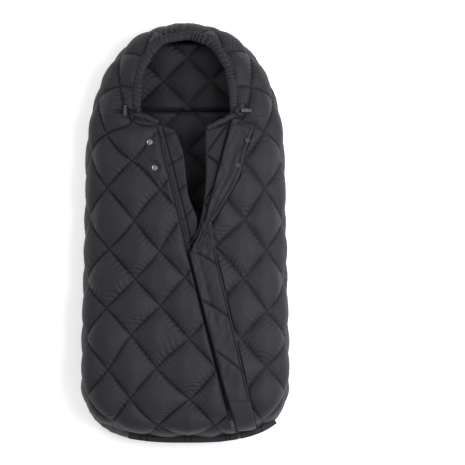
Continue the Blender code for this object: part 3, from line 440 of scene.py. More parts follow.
def with_turned_edge(points, normals, depth):
    """The grid with its border turned in, down along the normals, as a hem is."""
    for _ in range(TURNED_EDGE_STEPS):
        points = np.pad(points, ((1, 1), (1, 1), (0, 0)), mode="edge")
        normals = np.pad(normals, ((1, 1), (1, 1), (0, 0)), mode="edge")
        for border in (np.s_[0, :], np.s_[-1, :], np.s_[:, 0], np.s_[:, -1]):
            points[border] -= normals[border] * depth / TURNED_EDGE_STEPS
        for corner in ((0, 0), (0, -1), (-1, 0), (-1, -1)):
            points[corner] += normals[corner] * depth / TURNED_EDGE_STEPS
    return points


# ---- Quilting ----


def section_length(share, reach, power, steps=36):
    """Arc length of the bag's section from its rim in to this share of its reach."""
    turn = np.arccos(np.clip(share, 0.0, 1.0) ** (power / 2))[..., None] * np.linspace(0.0, 1.0, steps + 1)
    power = np.asarray(power)[..., None]
    flat = np.asarray(reach)[..., None] * np.cos(turn) ** (2 / power)
    high = (HEIGHT - SEAM_HEIGHT) * np.sin(turn) ** (2 / power)
    return np.hypot(np.diff(flat), np.diff(high)).sum(-1)


def cloth_coordinates(x, y):
    """Where a point of the surface lies on the flat, quilted cloth that the bag was sewn from."""
    share = np.clip(gauge(x, y), 1e-4, 1.0)
    middle_y = np.clip(y, FOOT_CENTRE_Y, HEAD_CENTRE_Y)
    radius = np.maximum(np.hypot(x, y - middle_y), 1e-6) / share
    power = crown(y)
    from_rim = section_length(share, radius, power)
    from_middle = section_length(np.zeros_like(share), radius, power) - from_rim

    stretch = from_middle / (radius * share)
    foot = y < FOOT_CENTRE_Y
    u = np.where(foot, x * stretch, np.sign(x) * from_middle)
    v = np.where(foot, FOOT_CENTRE_Y + (y - FOOT_CENTRE_Y) * stretch, y)

    side_length = section_length(0.0, half_width(HEAD_CENTRE_Y), BODY_CROWN)
    upward = np.clip((y - HEAD_CENTRE_Y) / HEAD_REACH, 0.0, None) / share
    sideways = np.abs(x) / half_width(y) / share
    angle = np.degrees(np.arctan2(upward ** (HEAD_ROUNDNESS / 2), sideways ** (HEAD_ROUNDNESS / 2)))
    ring_u = np.sign(x) * (side_length - from_rim)
    ring_v = HEAD_CENTRE_Y + 2 * DIAMOND_HALF_LENGTH * angle / DOME_ROW_DEGREES
    ring_v += DOME_SHIFT * np.clip(angle / DOME_SHIFT_DEGREES, 0.0, 1.0)
    outer = blend_steps((share - 0.35) / 0.35)
    head = y > HEAD_CENTRE_Y
    u = np.where(head, lerp(x, ring_u, outer), u)
    v = np.where(head, lerp(y, ring_v, outer), v)
    return u, v, np.where(head, angle, 0.0)


def lattice(x, y, half_width_m, half_length_m):
    """The two numbers of a place on a lattice of diamonds, each a whole number on a stitch line."""
    a = x / (2 * half_width_m)
    b = y / (2 * half_length_m)
    return a + b, a - b


def quilt_lines(u, v, angle):
    """The lattice numbers of a place on the shell's cloth, whose lines stray a little, as sewn ones do."""
    shift = LATTICE_U * (1.0 - blend_steps(angle / 60.0))
    u = u + LINE_WANDER * ripples(u, v, WANDER_SIZE, 3)
    v = v + LINE_WANDER * ripples(u, v, WANDER_SIZE, 4)
    return lattice(u - shift, v - LATTICE_V, DIAMOND_HALF_WIDTH, DIAMOND_HALF_LENGTH)


def line_distance(number, spacing=LINE_SPACING):
    """Metres from the nearest stitch line."""
    return np.abs(number - np.round(number)) * spacing


def puff(distance, half=LINE_SPACING / 2):
    """The pillow between two stitch lines: 0 at a line, 1 halfway to the next."""
    share = np.clip(distance / half, 0.0, 1.0)
    return (1.0 - (1.0 - share) ** 2.0) ** 0.62


def puckers(distance, run, seed, pitch=0.0125, reach=0.012):
    """Small folds that run away from a stitch line, where the thread gathers the cloth."""
    wander = 1.3 * ripples(distance, run, 0.045, seed, 5)
    strength = 0.6 + 0.5 * ripples(distance * 0.2, run, 0.11, seed + 1, 4)
    fade = np.exp(-distance / reach) * blend_steps(distance / 0.004)
    return np.sin(2 * math.pi * run / pitch + wander) * np.clip(strength, 0.0, 1.6) * fade


def quilting(p, q, u, v, height=PUFF_HEIGHT):
    """The height of quilted cloth above its stitch lines."""
    near_p, near_q = line_distance(p), line_distance(q)
    run_p, run_q = q * LINE_SPACING, p * LINE_SPACING
    folds = puckers(near_p, run_p, 11) + puckers(near_q, run_q, 23)
    dents = DENT_HEIGHT * ripples(u, v, 0.05, 31) * puff(near_p) * puff(near_q)
    return height * puff(near_p) * puff(near_q) + PUCKER_HEIGHT * (height / PUFF_HEIGHT) * folds + dents


def corner_wrinkles(p, q, u, v):
    """Arched wrinkles above the lower corner of each diamond, deeper where the bag has slumped."""
    low_p, low_q = p - np.floor(p), np.ceil(q) - q
    depth = low_p + low_q
    fade = np.exp(-((depth - 0.42) / 0.22) ** 2) * blend_steps(low_p / 0.08) * blend_steps(low_q / 0.08)
    slump = np.clip(0.55 + 0.75 * ripples(u, v, 0.22, 41, 5), 0.0, 1.8)
    bend = WRINKLE_BEND * (low_p - low_q) ** 2
    wave = np.sin(2 * math.pi * (v + bend) / WRINKLE_PITCH + 2.2 * ripples(u, v, 0.07, 43))
    return WRINKLE_HEIGHT * wave * fade * slump


def rounded_border(distance, radius=0.006, drop=0.006):
    """How far a sewn edge rolls down towards its seam."""
    share = np.clip(distance / radius, 0.0, 1.0)
    return drop * (np.sqrt(1.0 - (1.0 - share) ** 2) - 1.0)


# ---- Shell ----

SNAP_SPOTS = ((-0.0808, 0.2040), (-0.0690, 0.1450))
FOLD_EDGE = [(0.1070, 0.248), (0.0725, 0.1205), (0.0440, 0.012)]
FREE_EDGE = [(0.1600, 0.238), (0.1395, 0.1805), (0.1254, 0.1242), (0.0926, 0.0656), (0.0640, 0.0200)]
LOWER_SEAM = [(0.0658, -0.025), (0.1089, -0.210), (0.1520, -0.395), (0.1660, -0.460)]


def between_edges(x, y, left, right, soft=0.006):
    """1 between two edges in plan, and 0 outside them or beyond their ends."""
    left, right = (np.array(sorted(edge, key=lambda point: point[1])) for edge in (left, right))
    low, high = max(left[0, 1], right[0, 1]), min(left[-1, 1], right[-1, 1])
    inside = np.minimum(x - np.interp(y, left[:, 1], left[:, 0]), np.interp(y, right[:, 1], right[:, 0]) - x)
    inside = np.minimum(inside, np.minimum(y - low, high - y) + soft)
    return blend_steps(inside / soft + 0.5)


def under_flaps(x, y):
    """1 where a storm flap lies on the shell."""
    zip_line = [(zip_x(-0.46) + 0.006, -0.46), (zip_x(-0.025), -0.025)]
    folded = between_edges(x, y, FOLD_EDGE, FREE_EDGE)
    return np.maximum(folded, between_edges(x, y, zip_line, LOWER_SEAM))


def near_snaps(x, y, radius=0.007, soft=0.012):
    """1 at a snap, where the fastener holds the padding flat."""
    away = np.minimum.reduce([np.hypot(x - a, y - b) for a, b in SNAP_SPOTS])
    return 1.0 - blend_steps((away - radius) / soft)


def shell_grid(outline, edge, lows, columns, dense=150):
    """Evenly spaced points over the bag, row by row, from the outline up and over to an inner edge."""
    power = crown(outline[:, 1])
    rise = (lows - SEAM_HEIGHT) / (HEIGHT - SEAM_HEIGHT)
    first = np.arcsin(rise ** (power / 2))
    turn = first[:, None] + (math.pi / 2 - first[:, None]) * np.linspace(0.0, 1.0, dense)
    share = 1.0 - np.clip(np.cos(turn), 0.0, 1.0) ** (2 / power[:, None])
    flat = outline[:, None] + (edge - outline)[:, None] * share[..., None]
    rows = on_surface(flat)
    rows[:, 0, 2] = lows
    return np.stack([resample(row, columns) for row in rows])


def inner_skin(points, lows):
    """The shell's inner face, from points of its outer one."""
    rim = (gauge(points[..., 0], points[..., 1]) ** 8)[..., None]
    middle = np.stack([np.zeros(points.shape[:2]), np.clip(points[..., 1], FOOT_CENTRE_Y, HEAD_CENTRE_Y)], -1)
    flat = points[..., :2] + unit(middle - points[..., :2]) * SHELL_THICKNESS * rim
    height = points[..., 2:] - SHELL_THICKNESS * (1.0 - rim)
    return np.concatenate([flat, np.maximum(height, lows[:, None, None])], -1)


def front_rows(side, inner_x, top_edge, side_rows, end_rows):
    """The outline, inner edge and lower rim of one front panel, from the neck down and round the foot."""
    share = np.linspace(0.0, 1.0, side_rows, endpoint=False)
    y = lerp(NECK_SIDE_Y, FOOT_CENTRE_Y, share)
    x = np.where(y > HEAD_CENTRE_Y, head_points(head_angle(y))[:, 0], half_width(y))
    inner_y = lerp(top_edge[1], FOOT_CENTRE_Y, share)
    outline = [np.stack([side * x, y], -1)]
    edge = [np.stack([inner_x(inner_y), inner_y], -1)]
    lows = [np.full(side_rows, SEAM_HEIGHT)]

    last = foot_angle(inner_x(-LENGTH / 2 + FOOT_SETBACK))
    if inner_x(-LENGTH / 2) * side < 0:
        last = math.pi - last
    share = np.linspace(0.0, 1.0, end_rows)
    corner = foot_points(-last * share, FOOT_SETBACK)
    inner_y = lerp(FOOT_CENTRE_Y, ZIP_BOTTOM[1], share)
    outline.append(corner * np.array([side, 1.0]))
    edge.append(np.stack([inner_x(inner_y), inner_y], -1))
    lows.append(hem_height(last * share))
    return np.vstack(outline), np.vstack(edge), np.concatenate(lows)


UNDER_TUNNEL = 0.0025  # how far the hood's inner edge reaches under the tunnel
HOOD_EDGE_EASE = 0.006  # how much less that edge is rolled down
HOOD_GATHER_HEIGHT = 0.0036


def hood_rows(rows):
    """The outline and inner edge of the hood, from the left neck seam over the head to the right one."""
    first = head_angle(NECK_SIDE_Y)
    outline = head_points(np.linspace(math.pi - first, first, rows))
    offset = TUNNEL_HALF_WIDTH - UNDER_TUNNEL
    arch = opening_points(np.linspace(math.pi, 0.0, 160), offset)
    corner = head_points(first)
    ends = []
    for side, neck in ((-1, NECK_LEFT), (1, NECK_RIGHT)):
        x = OPENING_HALF_WIDTH + offset
        share = (corner[0] - x) / (corner[0] - abs(neck[0]))
        ends.append((side * x, lerp(NECK_SIDE_Y, neck[1], share)))
    edge = resample(np.vstack([ends[0], arch, ends[1]]), rows)
    return outline, edge, np.full(rows, SEAM_HEIGHT)


def shell_edges(base, hood):
    """How far each point is from the panel's free edges, and how strongly its last column is gathered."""
    x = base[..., 0]
    run = grid_runs(base, 0)
    reach = grid_runs(base, 1)
    inner = np.take(reach, [-1], axis=1) - reach
    if hood:
        gathers = puckers(inner, run[:, -1:] + 0.0 * inner, 51, pitch=0.0135, reach=0.020)
        return np.minimum(reach, inner + HOOD_EDGE_EASE), HOOD_GATHER_HEIGHT * gathers
    past_neckline = 1.0 * (np.abs(x) > OPENING_HALF_WIDTH + TUNNEL_HALF_WIDTH)
    nearest = np.minimum(np.minimum(reach, inner), run + past_neckline)
    return nearest, np.zeros_like(nearest)


def quilted_shell(name, rows, columns, surface, hood=False):
    """A quilted outer panel with puffs, puckers and turned edges."""
    base = shell_grid(*rows, columns)
    x, y = base[..., 0], base[..., 1]
    u, v, angle = cloth_coordinates(x, y)
    p, q = quilt_lines(u, v, angle)
    distance, gathers = shell_edges(base, hood)
    fullness = 1.0 - RIM_FLATTENING * blend_steps((gauge(x, y) - RIM_START) / (1.0 - RIM_START))
    height = (quilting(p, q, u, v) + corner_wrinkles(p, q, u, v) - PUFF_SUNK * PUFF_HEIGHT) * fullness
    height = lerp(height, PRESSED_BY_FLAP, under_flaps(x, y))
    height = lerp(height, PRESSED_BY_SNAP, near_snaps(x, y))
    height = height * blend_steps(distance / EDGE_FADE) + rounded_border(distance) + gathers
    normals = grid_normals(base)
    points = with_turned_edge(base + normals * height[..., None], normals, TURNED_EDGE)
    return grid_object(name, points, surface, (u, v), (p, q))


def quilted_lining(name, rows, columns, surface):
    """The shell's inner face, quilted too but flatter."""
    base = inner_skin(shell_grid(*rows, columns), rows[2])
    u, v, angle = cloth_coordinates(base[..., 0], base[..., 1])
    p, q = quilt_lines(u, v, angle)
    height = quilting(p, q, u, v, 0.006) * blend_steps(border_distance(base) / 0.02)
    points = base - grid_normals(base) * height[..., None]
    return grid_object(name, points, surface, (u, v), (p, q))


def make_shell(nylon, lining):
    left = (-1, left_edge_x, NECK_LEFT)
    right = (1, right_edge_x, NECK_RIGHT)
    for name, sides in (("left_front", left), ("right_front", right)):
        outer = quilted_shell(name + "_quilt", front_rows(*sides, side_rows=290, end_rows=150), 170, nylon)
        place(outer, "root", "quilted_nylon", name + "_panel", fill=0.7)
        inner = quilted_lining(name + "_lining", front_rows(*sides, side_rows=110, end_rows=50), 60, lining)
        place(inner, "root", "lining_nylon", fill=0.5)
    outer = quilted_shell("hood_quilt", hood_rows(540), 96, nylon, hood=True)
    place(outer, "root", "quilted_nylon", "hood_shell", fill=0.7)
    inner = quilted_lining("hood_lining", hood_rows(200), 40, lining)
    place(inner, "root", "lining_nylon", fill=0.5)


# ---- Back, linings and gusset ----


def base_outline(count):
    """The base's whole outline, evenly spaced and counter-clockwise from the foot."""
    turns = np.linspace(-math.pi / 2, math.pi / 2, 400)
    foot, head = turns[:200], turns[200:]
    right = np.vstack([foot_points(foot), head_points(head)])
    return resample(np.vstack([right, right[::-1] * (-1.0, 1.0)]), count + 1)[:-1]


BACK_RIM_WIDTH = 0.020
BACK_PUFF_HEIGHT = 0.006
BACK_SIDE_PUFF = 0.0025
BACK_WALL_STEPS = 13
BACK_TOP_INSET = 0.006


def make_back(nylon, rows=90, columns=720):
    """The back panel: a quilted face below, flat on its crests, and a padded rim up to the seam."""
    outline = base_outline(columns)
    share = np.linspace(0.0, 1.0, rows)[:, None, None]
    flat = outline * share
    p, q = lattice(flat[..., 0], flat[..., 1], DIAMOND_HALF_WIDTH, DIAMOND_HALF_LENGTH)
    fullness = puff(line_distance(p)) * puff(line_distance(q))
    reach = np.linalg.norm(outline, axis=1)
    rim = np.clip(1.0 - reach * (1.0 - share[..., 0]) / BACK_RIM_WIDTH, 0.0, 1.0)
    rolled = SEAM_HEIGHT / 2 * (1.0 - np.sqrt(1.0 - rim**2))
    low = BACK_PUFF_HEIGHT * (1.0 - fullness) * (1.0 - rim) + rolled

    turn = np.linspace(0.0, math.pi, BACK_WALL_STEPS + 1)[1:, None]
    out = outline / reach[:, None]
    drawn_in = BACK_SIDE_PUFF * (1.0 - fullness[-1]) + BACK_TOP_INSET * (1.0 - np.sin(turn))
    rise = SEAM_HEIGHT * (0.5 - 0.5 * np.cos(turn))
    wall = raised(outline - out * drawn_in[..., None], np.maximum(rise, low[-1]))
    points = np.vstack([raised(flat, low), wall])
    lines = [np.pad(number, ((0, BACK_WALL_STEPS), (0, 0)), mode="edge") for number in (p, q)]
    back = grid_object("back_quilt", points, nylon, (points[..., 0], points[..., 1]), lines, wrap=True)
    place(back, "root", "quilted_nylon", "back_panel", fill=0.5)


LINING_SEAM_Y = 0.286
LINING_HALF_WIDTH = 0.0574  # half a diamond of the lining's quilting
LINING_HALF_LENGTH = 0.0555
LINING_SPACING = 1.0 / math.hypot(0.5 / LINING_HALF_WIDTH, 0.5 / LINING_HALF_LENGTH)
LINING_NODE = (0.0036, 0.3017)
LINING_THICKNESS = 0.014
LINING_SEAM_GAP = 0.0015
LINING_TURNED_EDGE = 0.006
BACK_LINING_INSET = 0.027
HEAD_LINING_INSET = 0.033
LINING_LOW_Y = -0.440
LINING_HIGH_Y = 0.446
LINING_BOWL = 0.040  # how steeply the lining rises at the sides, from BOWL_START of the gauge out
BOWL_START = 0.45


def make_lining(name, low_y, high_y, inset, surface, count=230):
    """A quilted pad on the back, which rises towards the sides."""
    y = np.linspace(low_y, high_y, count)[:, None] * np.ones(count)
    rounding = np.clip(1.0 - gauge(np.zeros_like(y), y) ** HEAD_ROUNDNESS, 1e-3, 1.0)
    side = half_width(y) * rounding ** (1 / HEAD_ROUNDNESS)
    x = np.linspace(-1.0, 1.0, count) * (side - inset)
    p, q = lattice(x - LINING_NODE[0], y - LINING_NODE[1], LINING_HALF_WIDTH, LINING_HALF_LENGTH)
    near_p, near_q = line_distance(p, LINING_SPACING), line_distance(q, LINING_SPACING)
    fullness = puff(near_p, LINING_SPACING / 2) * puff(near_q, LINING_SPACING / 2)
    folds = puckers(near_p, q * LINING_SPACING, 61) + puckers(near_q, p * LINING_SPACING, 67)
    padding = LINING_THICKNESS * (0.45 + 0.75 * fullness) + 0.0008 * folds
    seam = rounded_border(np.minimum(y - low_y, high_y - y), radius=0.012, drop=0.010)
    bowl = LINING_BOWL * np.clip(gauge(x, y) - BOWL_START, 0.0, None) ** 1.5
    points = np.stack([x, y, SEAM_HEIGHT + padding + bowl + seam], -1)
    points = with_turned_edge(points, np.zeros_like(points) + (0.0, 0.0, 1.0), LINING_TURNED_EDGE)
    pad = grid_object(name + "_quilt", points, surface, (x, y), (p, q))
    place(pad, "root", "lining_nylon", name, fill=0.5)


GUSSET_RADIUS = 0.22  # turns angles round the foot into metres of cloth
GUSSET_OVERLAP = 0.003  # above the hem and inside the outline
GUSSET_PUFF = 0.0030


def make_gusset(nylon, start=0.04, columns=320, rows=26):
    """The plain padded band round the foot."""
    angle = np.linspace(start, math.pi - start, columns)
    run = angle * GUSSET_RADIUS
    base = foot_points(-angle)
    hem = foot_points(-angle, FOOT_SETBACK)
    top = hem_height(np.minimum(angle, math.pi - angle)) + GUSSET_OVERLAP
    share = np.linspace(0.0, 1.0, rows)[:, None, None]
    flat = base + (hem - base) * share**2
    height = SEAM_HEIGHT + (top - SEAM_HEIGHT) * share[..., 0]
    points = raised(flat, height)
    bulge = np.sin(math.pi * share[..., 0]) ** 0.5 * blend_steps((top - SEAM_HEIGHT) / 0.012)
    ridges = ripples(run, share[..., 0] * 0.02, 0.03, 71)
    depth = bulge * (GUSSET_PUFF + 0.0009 * ridges) - GUSSET_OVERLAP
    points[..., :2] += unit(flat - np.array([0.0, FOOT_CENTRE_Y])) * depth[..., None]
    band = grid_object("gusset_band", points, nylon, (run, height))
    place(band, "root", "quilted_nylon", "foot_gusset", fill=0.5)


# ---- Flat sewn pieces ----


PIECE_EDGE_ROLL = 0.006
PIECE_COLUMNS = 48


def on_flap(x, y):
    return surface_z(x, y) + FLAP_LIFT


def padded_strip(name, edges, thickness, surface, height_of=on_flap, relief_of=None, seams_of=None, rows=160):
    """A padded strip between two edges in plan, closed all round.

    height_of gives its underside's height in plan. By place on the strip, relief_of gives its relief, and
    seams_of its lines of stitching as lattice numbers.
    """
    first, second = (resample(smooth_line(edge, 0.002), rows) for edge in edges)
    share = (0.5 - 0.5 * np.cos(np.linspace(0.0, math.pi, PIECE_COLUMNS)))[None, :, None]
    flat = first[:, None] + (second - first)[:, None] * share
    middle = raised(flat, height_of(flat[..., 0], flat[..., 1]) + thickness / 2)
    normals = grid_normals(middle)
    distance = border_distance(middle)
    body = np.sqrt(1.0 - (1.0 - np.clip(distance / PIECE_EDGE_ROLL, 0.0, 1.0)) ** 2)
    row = np.linspace(0.0, 1.0, rows)[:, None]
    width = np.linalg.norm(middle[:, -1] - middle[:, 0], axis=-1)[:, None]
    length = run_along(middle[:, PIECE_COLUMNS // 2])[-1]
    along, across = np.broadcast_arrays(row * length, share[..., 0] * width)
    relief = np.zeros_like(body)
    if relief_of:
        relief = relief_of(along, across, row, share[..., 0]) * blend_steps(distance / 0.008)
    upper = middle + normals * (body * thickness / 2 + relief)[..., None]
    lower = middle - normals * (body * thickness / 2 - 0.5 * relief)[..., None]
    maps = {"cloth": np.stack([across, along], -1)}
    if seams_of:
        maps["quilt"] = np.stack(np.broadcast_arrays(*seams_of(along, across, width)), -1)
    return two_sided(name, upper, lower, maps, surface)


def two_sided(name, upper, lower, maps, surface):
    """A closed piece from two grids that share their border."""
    rows, columns = upper.shape[:2]
    inside = np.s_[1:-1, 1:-1]
    top = np.arange(rows * columns).reshape(rows, columns)
    under = top.copy()
    under[inside] = rows * columns + np.arange((rows - 2) * (columns - 2)).reshape(rows - 2, columns - 2)

    def joined(first, second):
        return np.vstack([grid.reshape(-1, grid.shape[-1]) for grid in (first, second[inside])])

    faces = []
    for index, flip in ((top, 1), (under, -1)):
        quads = np.stack([index[:-1, :-1], index[1:, :-1], index[1:, 1:], index[:-1, 1:]], -1)
        faces += quads.reshape(-1, 4)[:, ::flip].tolist()
    maps = {key: joined(grid, grid) for key, grid in maps.items()}
    return mesh_object(name, joined(upper, lower), faces, surface, maps)


def sew(name, node, edges, thickness, surface, body="root", slot="quilted_nylon", fill=0.5, **looks):
    """A padded strip that rides on its body and stands for its CAD node."""
    place(padded_strip(name, edges, thickness, surface, **looks), body, slot, node, fill=fill)


def zip_side(distance, y):
    """A plan point beside the zip, at the row y of the zip."""
    lean = unit(np.subtract(ZIP_BOTTOM, ZIP_TOP))
    return zip_x(y) - lean[1] * distance, y + lean[0] * distance


def crease(across, centre, width, depth):
    return -depth * np.exp(-(((across - centre) / width) ** 2))


def upper_flap_relief(along, across, row, share):
    soft = 0.0012 * ripples(along, across, 0.05, 81)
    fold = crease(share, 0.42 + 0.06 * np.sin(5 * row), 0.10, 0.0030) * blend_steps(row / 0.2)
    return soft + fold + 0.0007 * ripples(along * 0.5, across, 0.018, 83)


LOWER_SEAM_PITCH = 0.125
CROSSED_SEAM_PITCH = 0.115
WIND_SEAM_PITCH = 0.062
WIND_SEAM_EDGE = 0.012


def edge_seam(along, across, width):
    """One line of stitching, beside the second edge."""
    return 0.5, (across - width + 0.009) / LINE_SPACING


def lower_flap_seams(along, across, width):
    """Slanting lines of quilting, and the seam beside the second edge."""
    return (along - 1.15 * across) / LOWER_SEAM_PITCH + 0.1, (across - width + 0.005) / LINE_SPACING


def crossed_seams(along, across, width):
    return [(along + slant * across) / CROSSED_SEAM_PITCH + 0.5 for slant in (1.1, -1.1)]


def wind_flap_seams(along, across, width):
    return (along + 0.6 * across) / WIND_SEAM_PITCH + 0.5, (across - WIND_SEAM_EDGE) / LINE_SPACING


def lower_flap_relief(along, across, row, share):
    drape = 0.0010 * ripples(along, across, 0.060, 91)
    drape = drape + 0.0004 * ripples(along * 0.6 + across, across, 0.020, 93)
    seam = crease(share, 0.90, 0.035, 0.0018)
    slant, _ = lower_flap_seams(along, across, 1.0)
    seam = seam + crease(slant - np.round(slant), 0.0, 0.045, 0.0026)
    seam = seam + crease(share, 0.30 + 0.10 * row, 0.10, 0.0024) * (1.0 - blend_steps((row - 0.35) / 0.3))
    gathers = np.sin(2 * math.pi * across / 0.011 + 2.0 * ripples(along, across, 0.05, 95))
    return drape + seam + 0.0012 * gathers * np.exp(-row / 0.05)


def twist_relief(along, across, row, share):
    waves = np.sin(2 * math.pi * across / 0.0075 + 1.5 * ripples(along, across, 0.03, 101))
    return 0.0014 * waves + 0.001 * ripples(along, across, 0.02, 103)


def facing_relief(along, across, row, share):
    """Two crossed lines of stitching and the fullness between them."""
    one, two = (line_distance(line, CROSSED_SEAM_PITCH) for line in crossed_seams(along, across, 1.0))
    gathers = 0.0006 * (puckers(one, two, 105, 0.009, 0.010) + puckers(two, one, 107, 0.009, 0.010))
    return crease(one, 0.0, 0.004, 0.0034) + crease(two, 0.0, 0.004, 0.0034) + 1.6 * gathers


def wind_flap_relief(along, across, row, share):
    line, _ = wind_flap_seams(along, across, 1.0)
    slanting = crease(line_distance(line, WIND_SEAM_PITCH), 0.0, 0.004, 0.0026) * (across > WIND_SEAM_EDGE)
    edge = crease(across, WIND_SEAM_EDGE, 0.0022, 0.0022)
    return slanting + edge + 0.0006 * ripples(along, across, 0.03, 111)


def make_storm_flap(nylon, plain):
    """The storm flap: the part folded back, the part over the zip, its sewn end, and the twist between."""
    look = dict(relief_of=upper_flap_relief, seams_of=edge_seam, body="storm_flap_upper")
    sew("storm_flap_folded", "storm_flap_upper", (FOLD_EDGE, FREE_EDGE), FLAP_THICKNESS, nylon, **look)

    over_zip = [zip_side(-0.0005, -0.052), zip_side(0.0, -0.225), zip_side(0.003, -0.395)]
    edges = (over_zip, LOWER_SEAM[:3])
    look = dict(relief_of=lower_flap_relief, seams_of=lower_flap_seams, body="storm_flap_lower", rows=260)
    sew("storm_flap_over_zip", "storm_flap_lower", edges, FLAP_THICKNESS, nylon, **look)

    left = [zip_side(0.003, -0.388), zip_side(0.0050, -0.42), zip_side(0.0065, -0.461)]
    right = [(0.1510, -0.388), (0.157, -0.419), (0.1650, -0.456)]
    sew("storm_flap_sewn_end", "storm_flap_end", (left, right), 0.93 * FLAP_THICKNESS, plain, rows=60)

    inner = [(0.0425, 0.020), (0.0330, -0.008), (0.0200, -0.034), (0.0120, -0.058)]
    outer = [(0.0620, 0.022), (0.0652, -0.004), (0.0672, -0.026), (0.0690, -0.040)]
    look = dict(relief_of=twist_relief, rows=120)
    sew("storm_flap_gathers", "storm_flap_twist", (inner, outer), 1.2 * FLAP_THICKNESS, plain, **look)


INSIDE_THICKNESS = 0.006  # of the facing and the wind flap
FACING_DEPTH = 0.0035


def make_facing(lining):
    """The quilted strip inside the right edge of the opening."""
    free = [(0.0475, 0.2330), (0.0480, 0.108), (0.0350, 0.0200), (0.0160, -0.0240)]
    sewn = [(RIGHT_TAPE_TOP[0] + 0.0060, 0.2480), (0.0735, 0.1235), (0.0470, 0.021), (0.0330, -0.018)]

    def height(x, y):
        return surface_z(x, y) - FACING_DEPTH - INSIDE_THICKNESS

    look = dict(height_of=height, relief_of=facing_relief, seams_of=crossed_seams)
    look.update(slot="lining_nylon", fill=0.4)
    sew("facing_quilt", "right_facing", (free, sewn), INSIDE_THICKNESS, lining, **look)


def make_wind_flap(lining):
    """The quilted flap behind the left half of the zip, which leans as its solid does."""
    low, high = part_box("wind_flap")
    sewn = [(zip_x(y) - 0.0015, y) for y in (0.2460, 0.1000, -0.0250)]
    free = [(-0.0223, 0.2320), (-0.0035, 0.1780), (0.0082, 0.0844), (0.0280, 0.0281), (0.0260, -0.0100)]

    def height(x, y):
        return lerp(low.z, high.z - INSIDE_THICKNESS, np.clip((y - low.y) / (high.y - low.y), 0.0, 1.0))

    look = dict(height_of=height, relief_of=wind_flap_relief, seams_of=wind_flap_seams)
    look.update(body="wind_flap", slot="lining_nylon", fill=0.4)
    sew("wind_flap_quilt", "wind_flap", (sewn, free), INSIDE_THICKNESS, lining, **look)


# ---- Tunnel, bands and placket ----


def path_frames(path):
    """For each point of a path over the bag: the way along, across to the outside, and up."""
    along = unit(np.gradient(path, axis=0))
    across = unit(np.cross(along, (0.0, 0.0, 1.0)))
    return along, across, np.cross(across, along)


def soft_tube(name, path, half_width_m, half_height_m, relief, surface, around=56):
    """A padded tube along a path with closed ends; relief is added by length and angle."""
    _, across, up = path_frames(path)
    run = run_along(path)[:, None]
    ends = np.minimum(run, run[-1] - run) / half_height_m
    closing = np.sqrt(1.0 - (1.0 - np.clip(ends, 0.0, 1.0)) ** 2) * 0.999 + 0.001
    angle = np.linspace(0.0, 2 * math.pi, around, endpoint=False)[None, :]
    bump = relief(run, angle) * closing
    wide = (half_width_m + bump) * closing * np.cos(angle)
    high = (half_height_m + bump) * closing * np.sin(angle)
    points = path[:, None] + across[:, None] * wide[..., None] + up[:, None] * high[..., None]
    return grid_object(name, points, surface, (run, half_width_m * angle), wrap=True)


TUNNEL_HALF_SIZES = (0.0100, 0.0060)  # across and up, without the gathers
GATHER_PITCH = 0.0115


def tunnel_relief(run, angle):
    """Gathers across the drawstring tunnel: sharp valleys between soft folds."""
    phase = run / GATHER_PITCH * 2 * math.pi + 0.9 * np.sin(angle + 1.0)
    phase = phase + 1.8 * ripples(run, angle * 0.004, 0.05, 121)
    folds = np.abs(np.sin(phase / 2)) ** 0.6 - 0.7
    strength = 0.0034 + 0.0018 * ripples(run, angle * 0.002, 0.09, 123, 5)
    return folds * np.clip(strength, 0.0012, 0.0062)


def make_tunnel(nylon):
    """The gathered tunnel round the hood opening, which also hides the cord inside it."""
    arch = opening_points(np.linspace(math.pi, 0.0, 400))
    start, end = (-OPENING_HALF_WIDTH, OPENING_START_Y), (OPENING_HALF_WIDTH, OPENING_START_Y)
    plan = resample(np.vstack([start, arch, end]), 640)
    run = np.linspace(0.0, 0.48, len(plan))
    plan = plan + 0.0011 * np.stack([ripples(run, 0.0, 0.045, seed) for seed in (125, 127)], -1)
    path = on_surface(plan, -TUNNEL_SUNK)
    tunnel = soft_tube("tunnel_gathers", path, *TUNNEL_HALF_SIZES, tunnel_relief, nylon)
    place(tunnel, "root", "quilted_nylon", "hood_tunnel", "hood_drawcord", fill=0.5)


BAND_SUNK = 0.0035
BAND_HALF_SIZES = (0.0062, 0.0060)  # across and up


def band_relief(run, angle):
    return 0.0006 * ripples(run, angle * 0.004, 0.016, 131)


def make_bands(nylon):
    for side, points in (
        ("left", [(-0.1150, 0.2700), (-0.0950, 0.2640), (-0.0600, 0.2490)]),
        ("right", [(0.1150, 0.2670), (0.0950, 0.2580), (0.0500, 0.2345)]),
    ):
        path = on_surface(smooth_line(points, 0.0006), -BAND_SUNK)
        band = soft_tube("neck_binding_" + side, path, *BAND_HALF_SIZES, band_relief, nylon, around=32)
        place(band, "root", "quilted_nylon", "neck_band_" + side, fill=0.5)


# ---- Zip ----

TEETH_PITCH = 0.0025
TEETH_INNER = 0.0001
TEETH_OUTER = 0.0031
TAPE_OUTER = 0.0072
TAPE_THICKNESS = 0.0006
TOOTH_LENGTH = 0.0016
TOOTH_HEIGHT = 0.0026


def zip_height(x, y):
    """The height of the tapes' plane, which the right tape keeps to as it leaves the zip."""
    top = surface_z(*ZIP_TOP) - CHANNEL_DEPTH
    bottom = surface_z(*ZIP_BOTTOM) - CHANNEL_DEPTH
    sunk = lerp(top, bottom, (ZIP_TOP[1] - y) / (ZIP_TOP[1] - ZIP_BOTTOM[1]))
    return lerp(sunk, surface_z(x, y) - CHANNEL_DEPTH, blend_steps((y - ZIP_OPEN_Y) / 0.1))


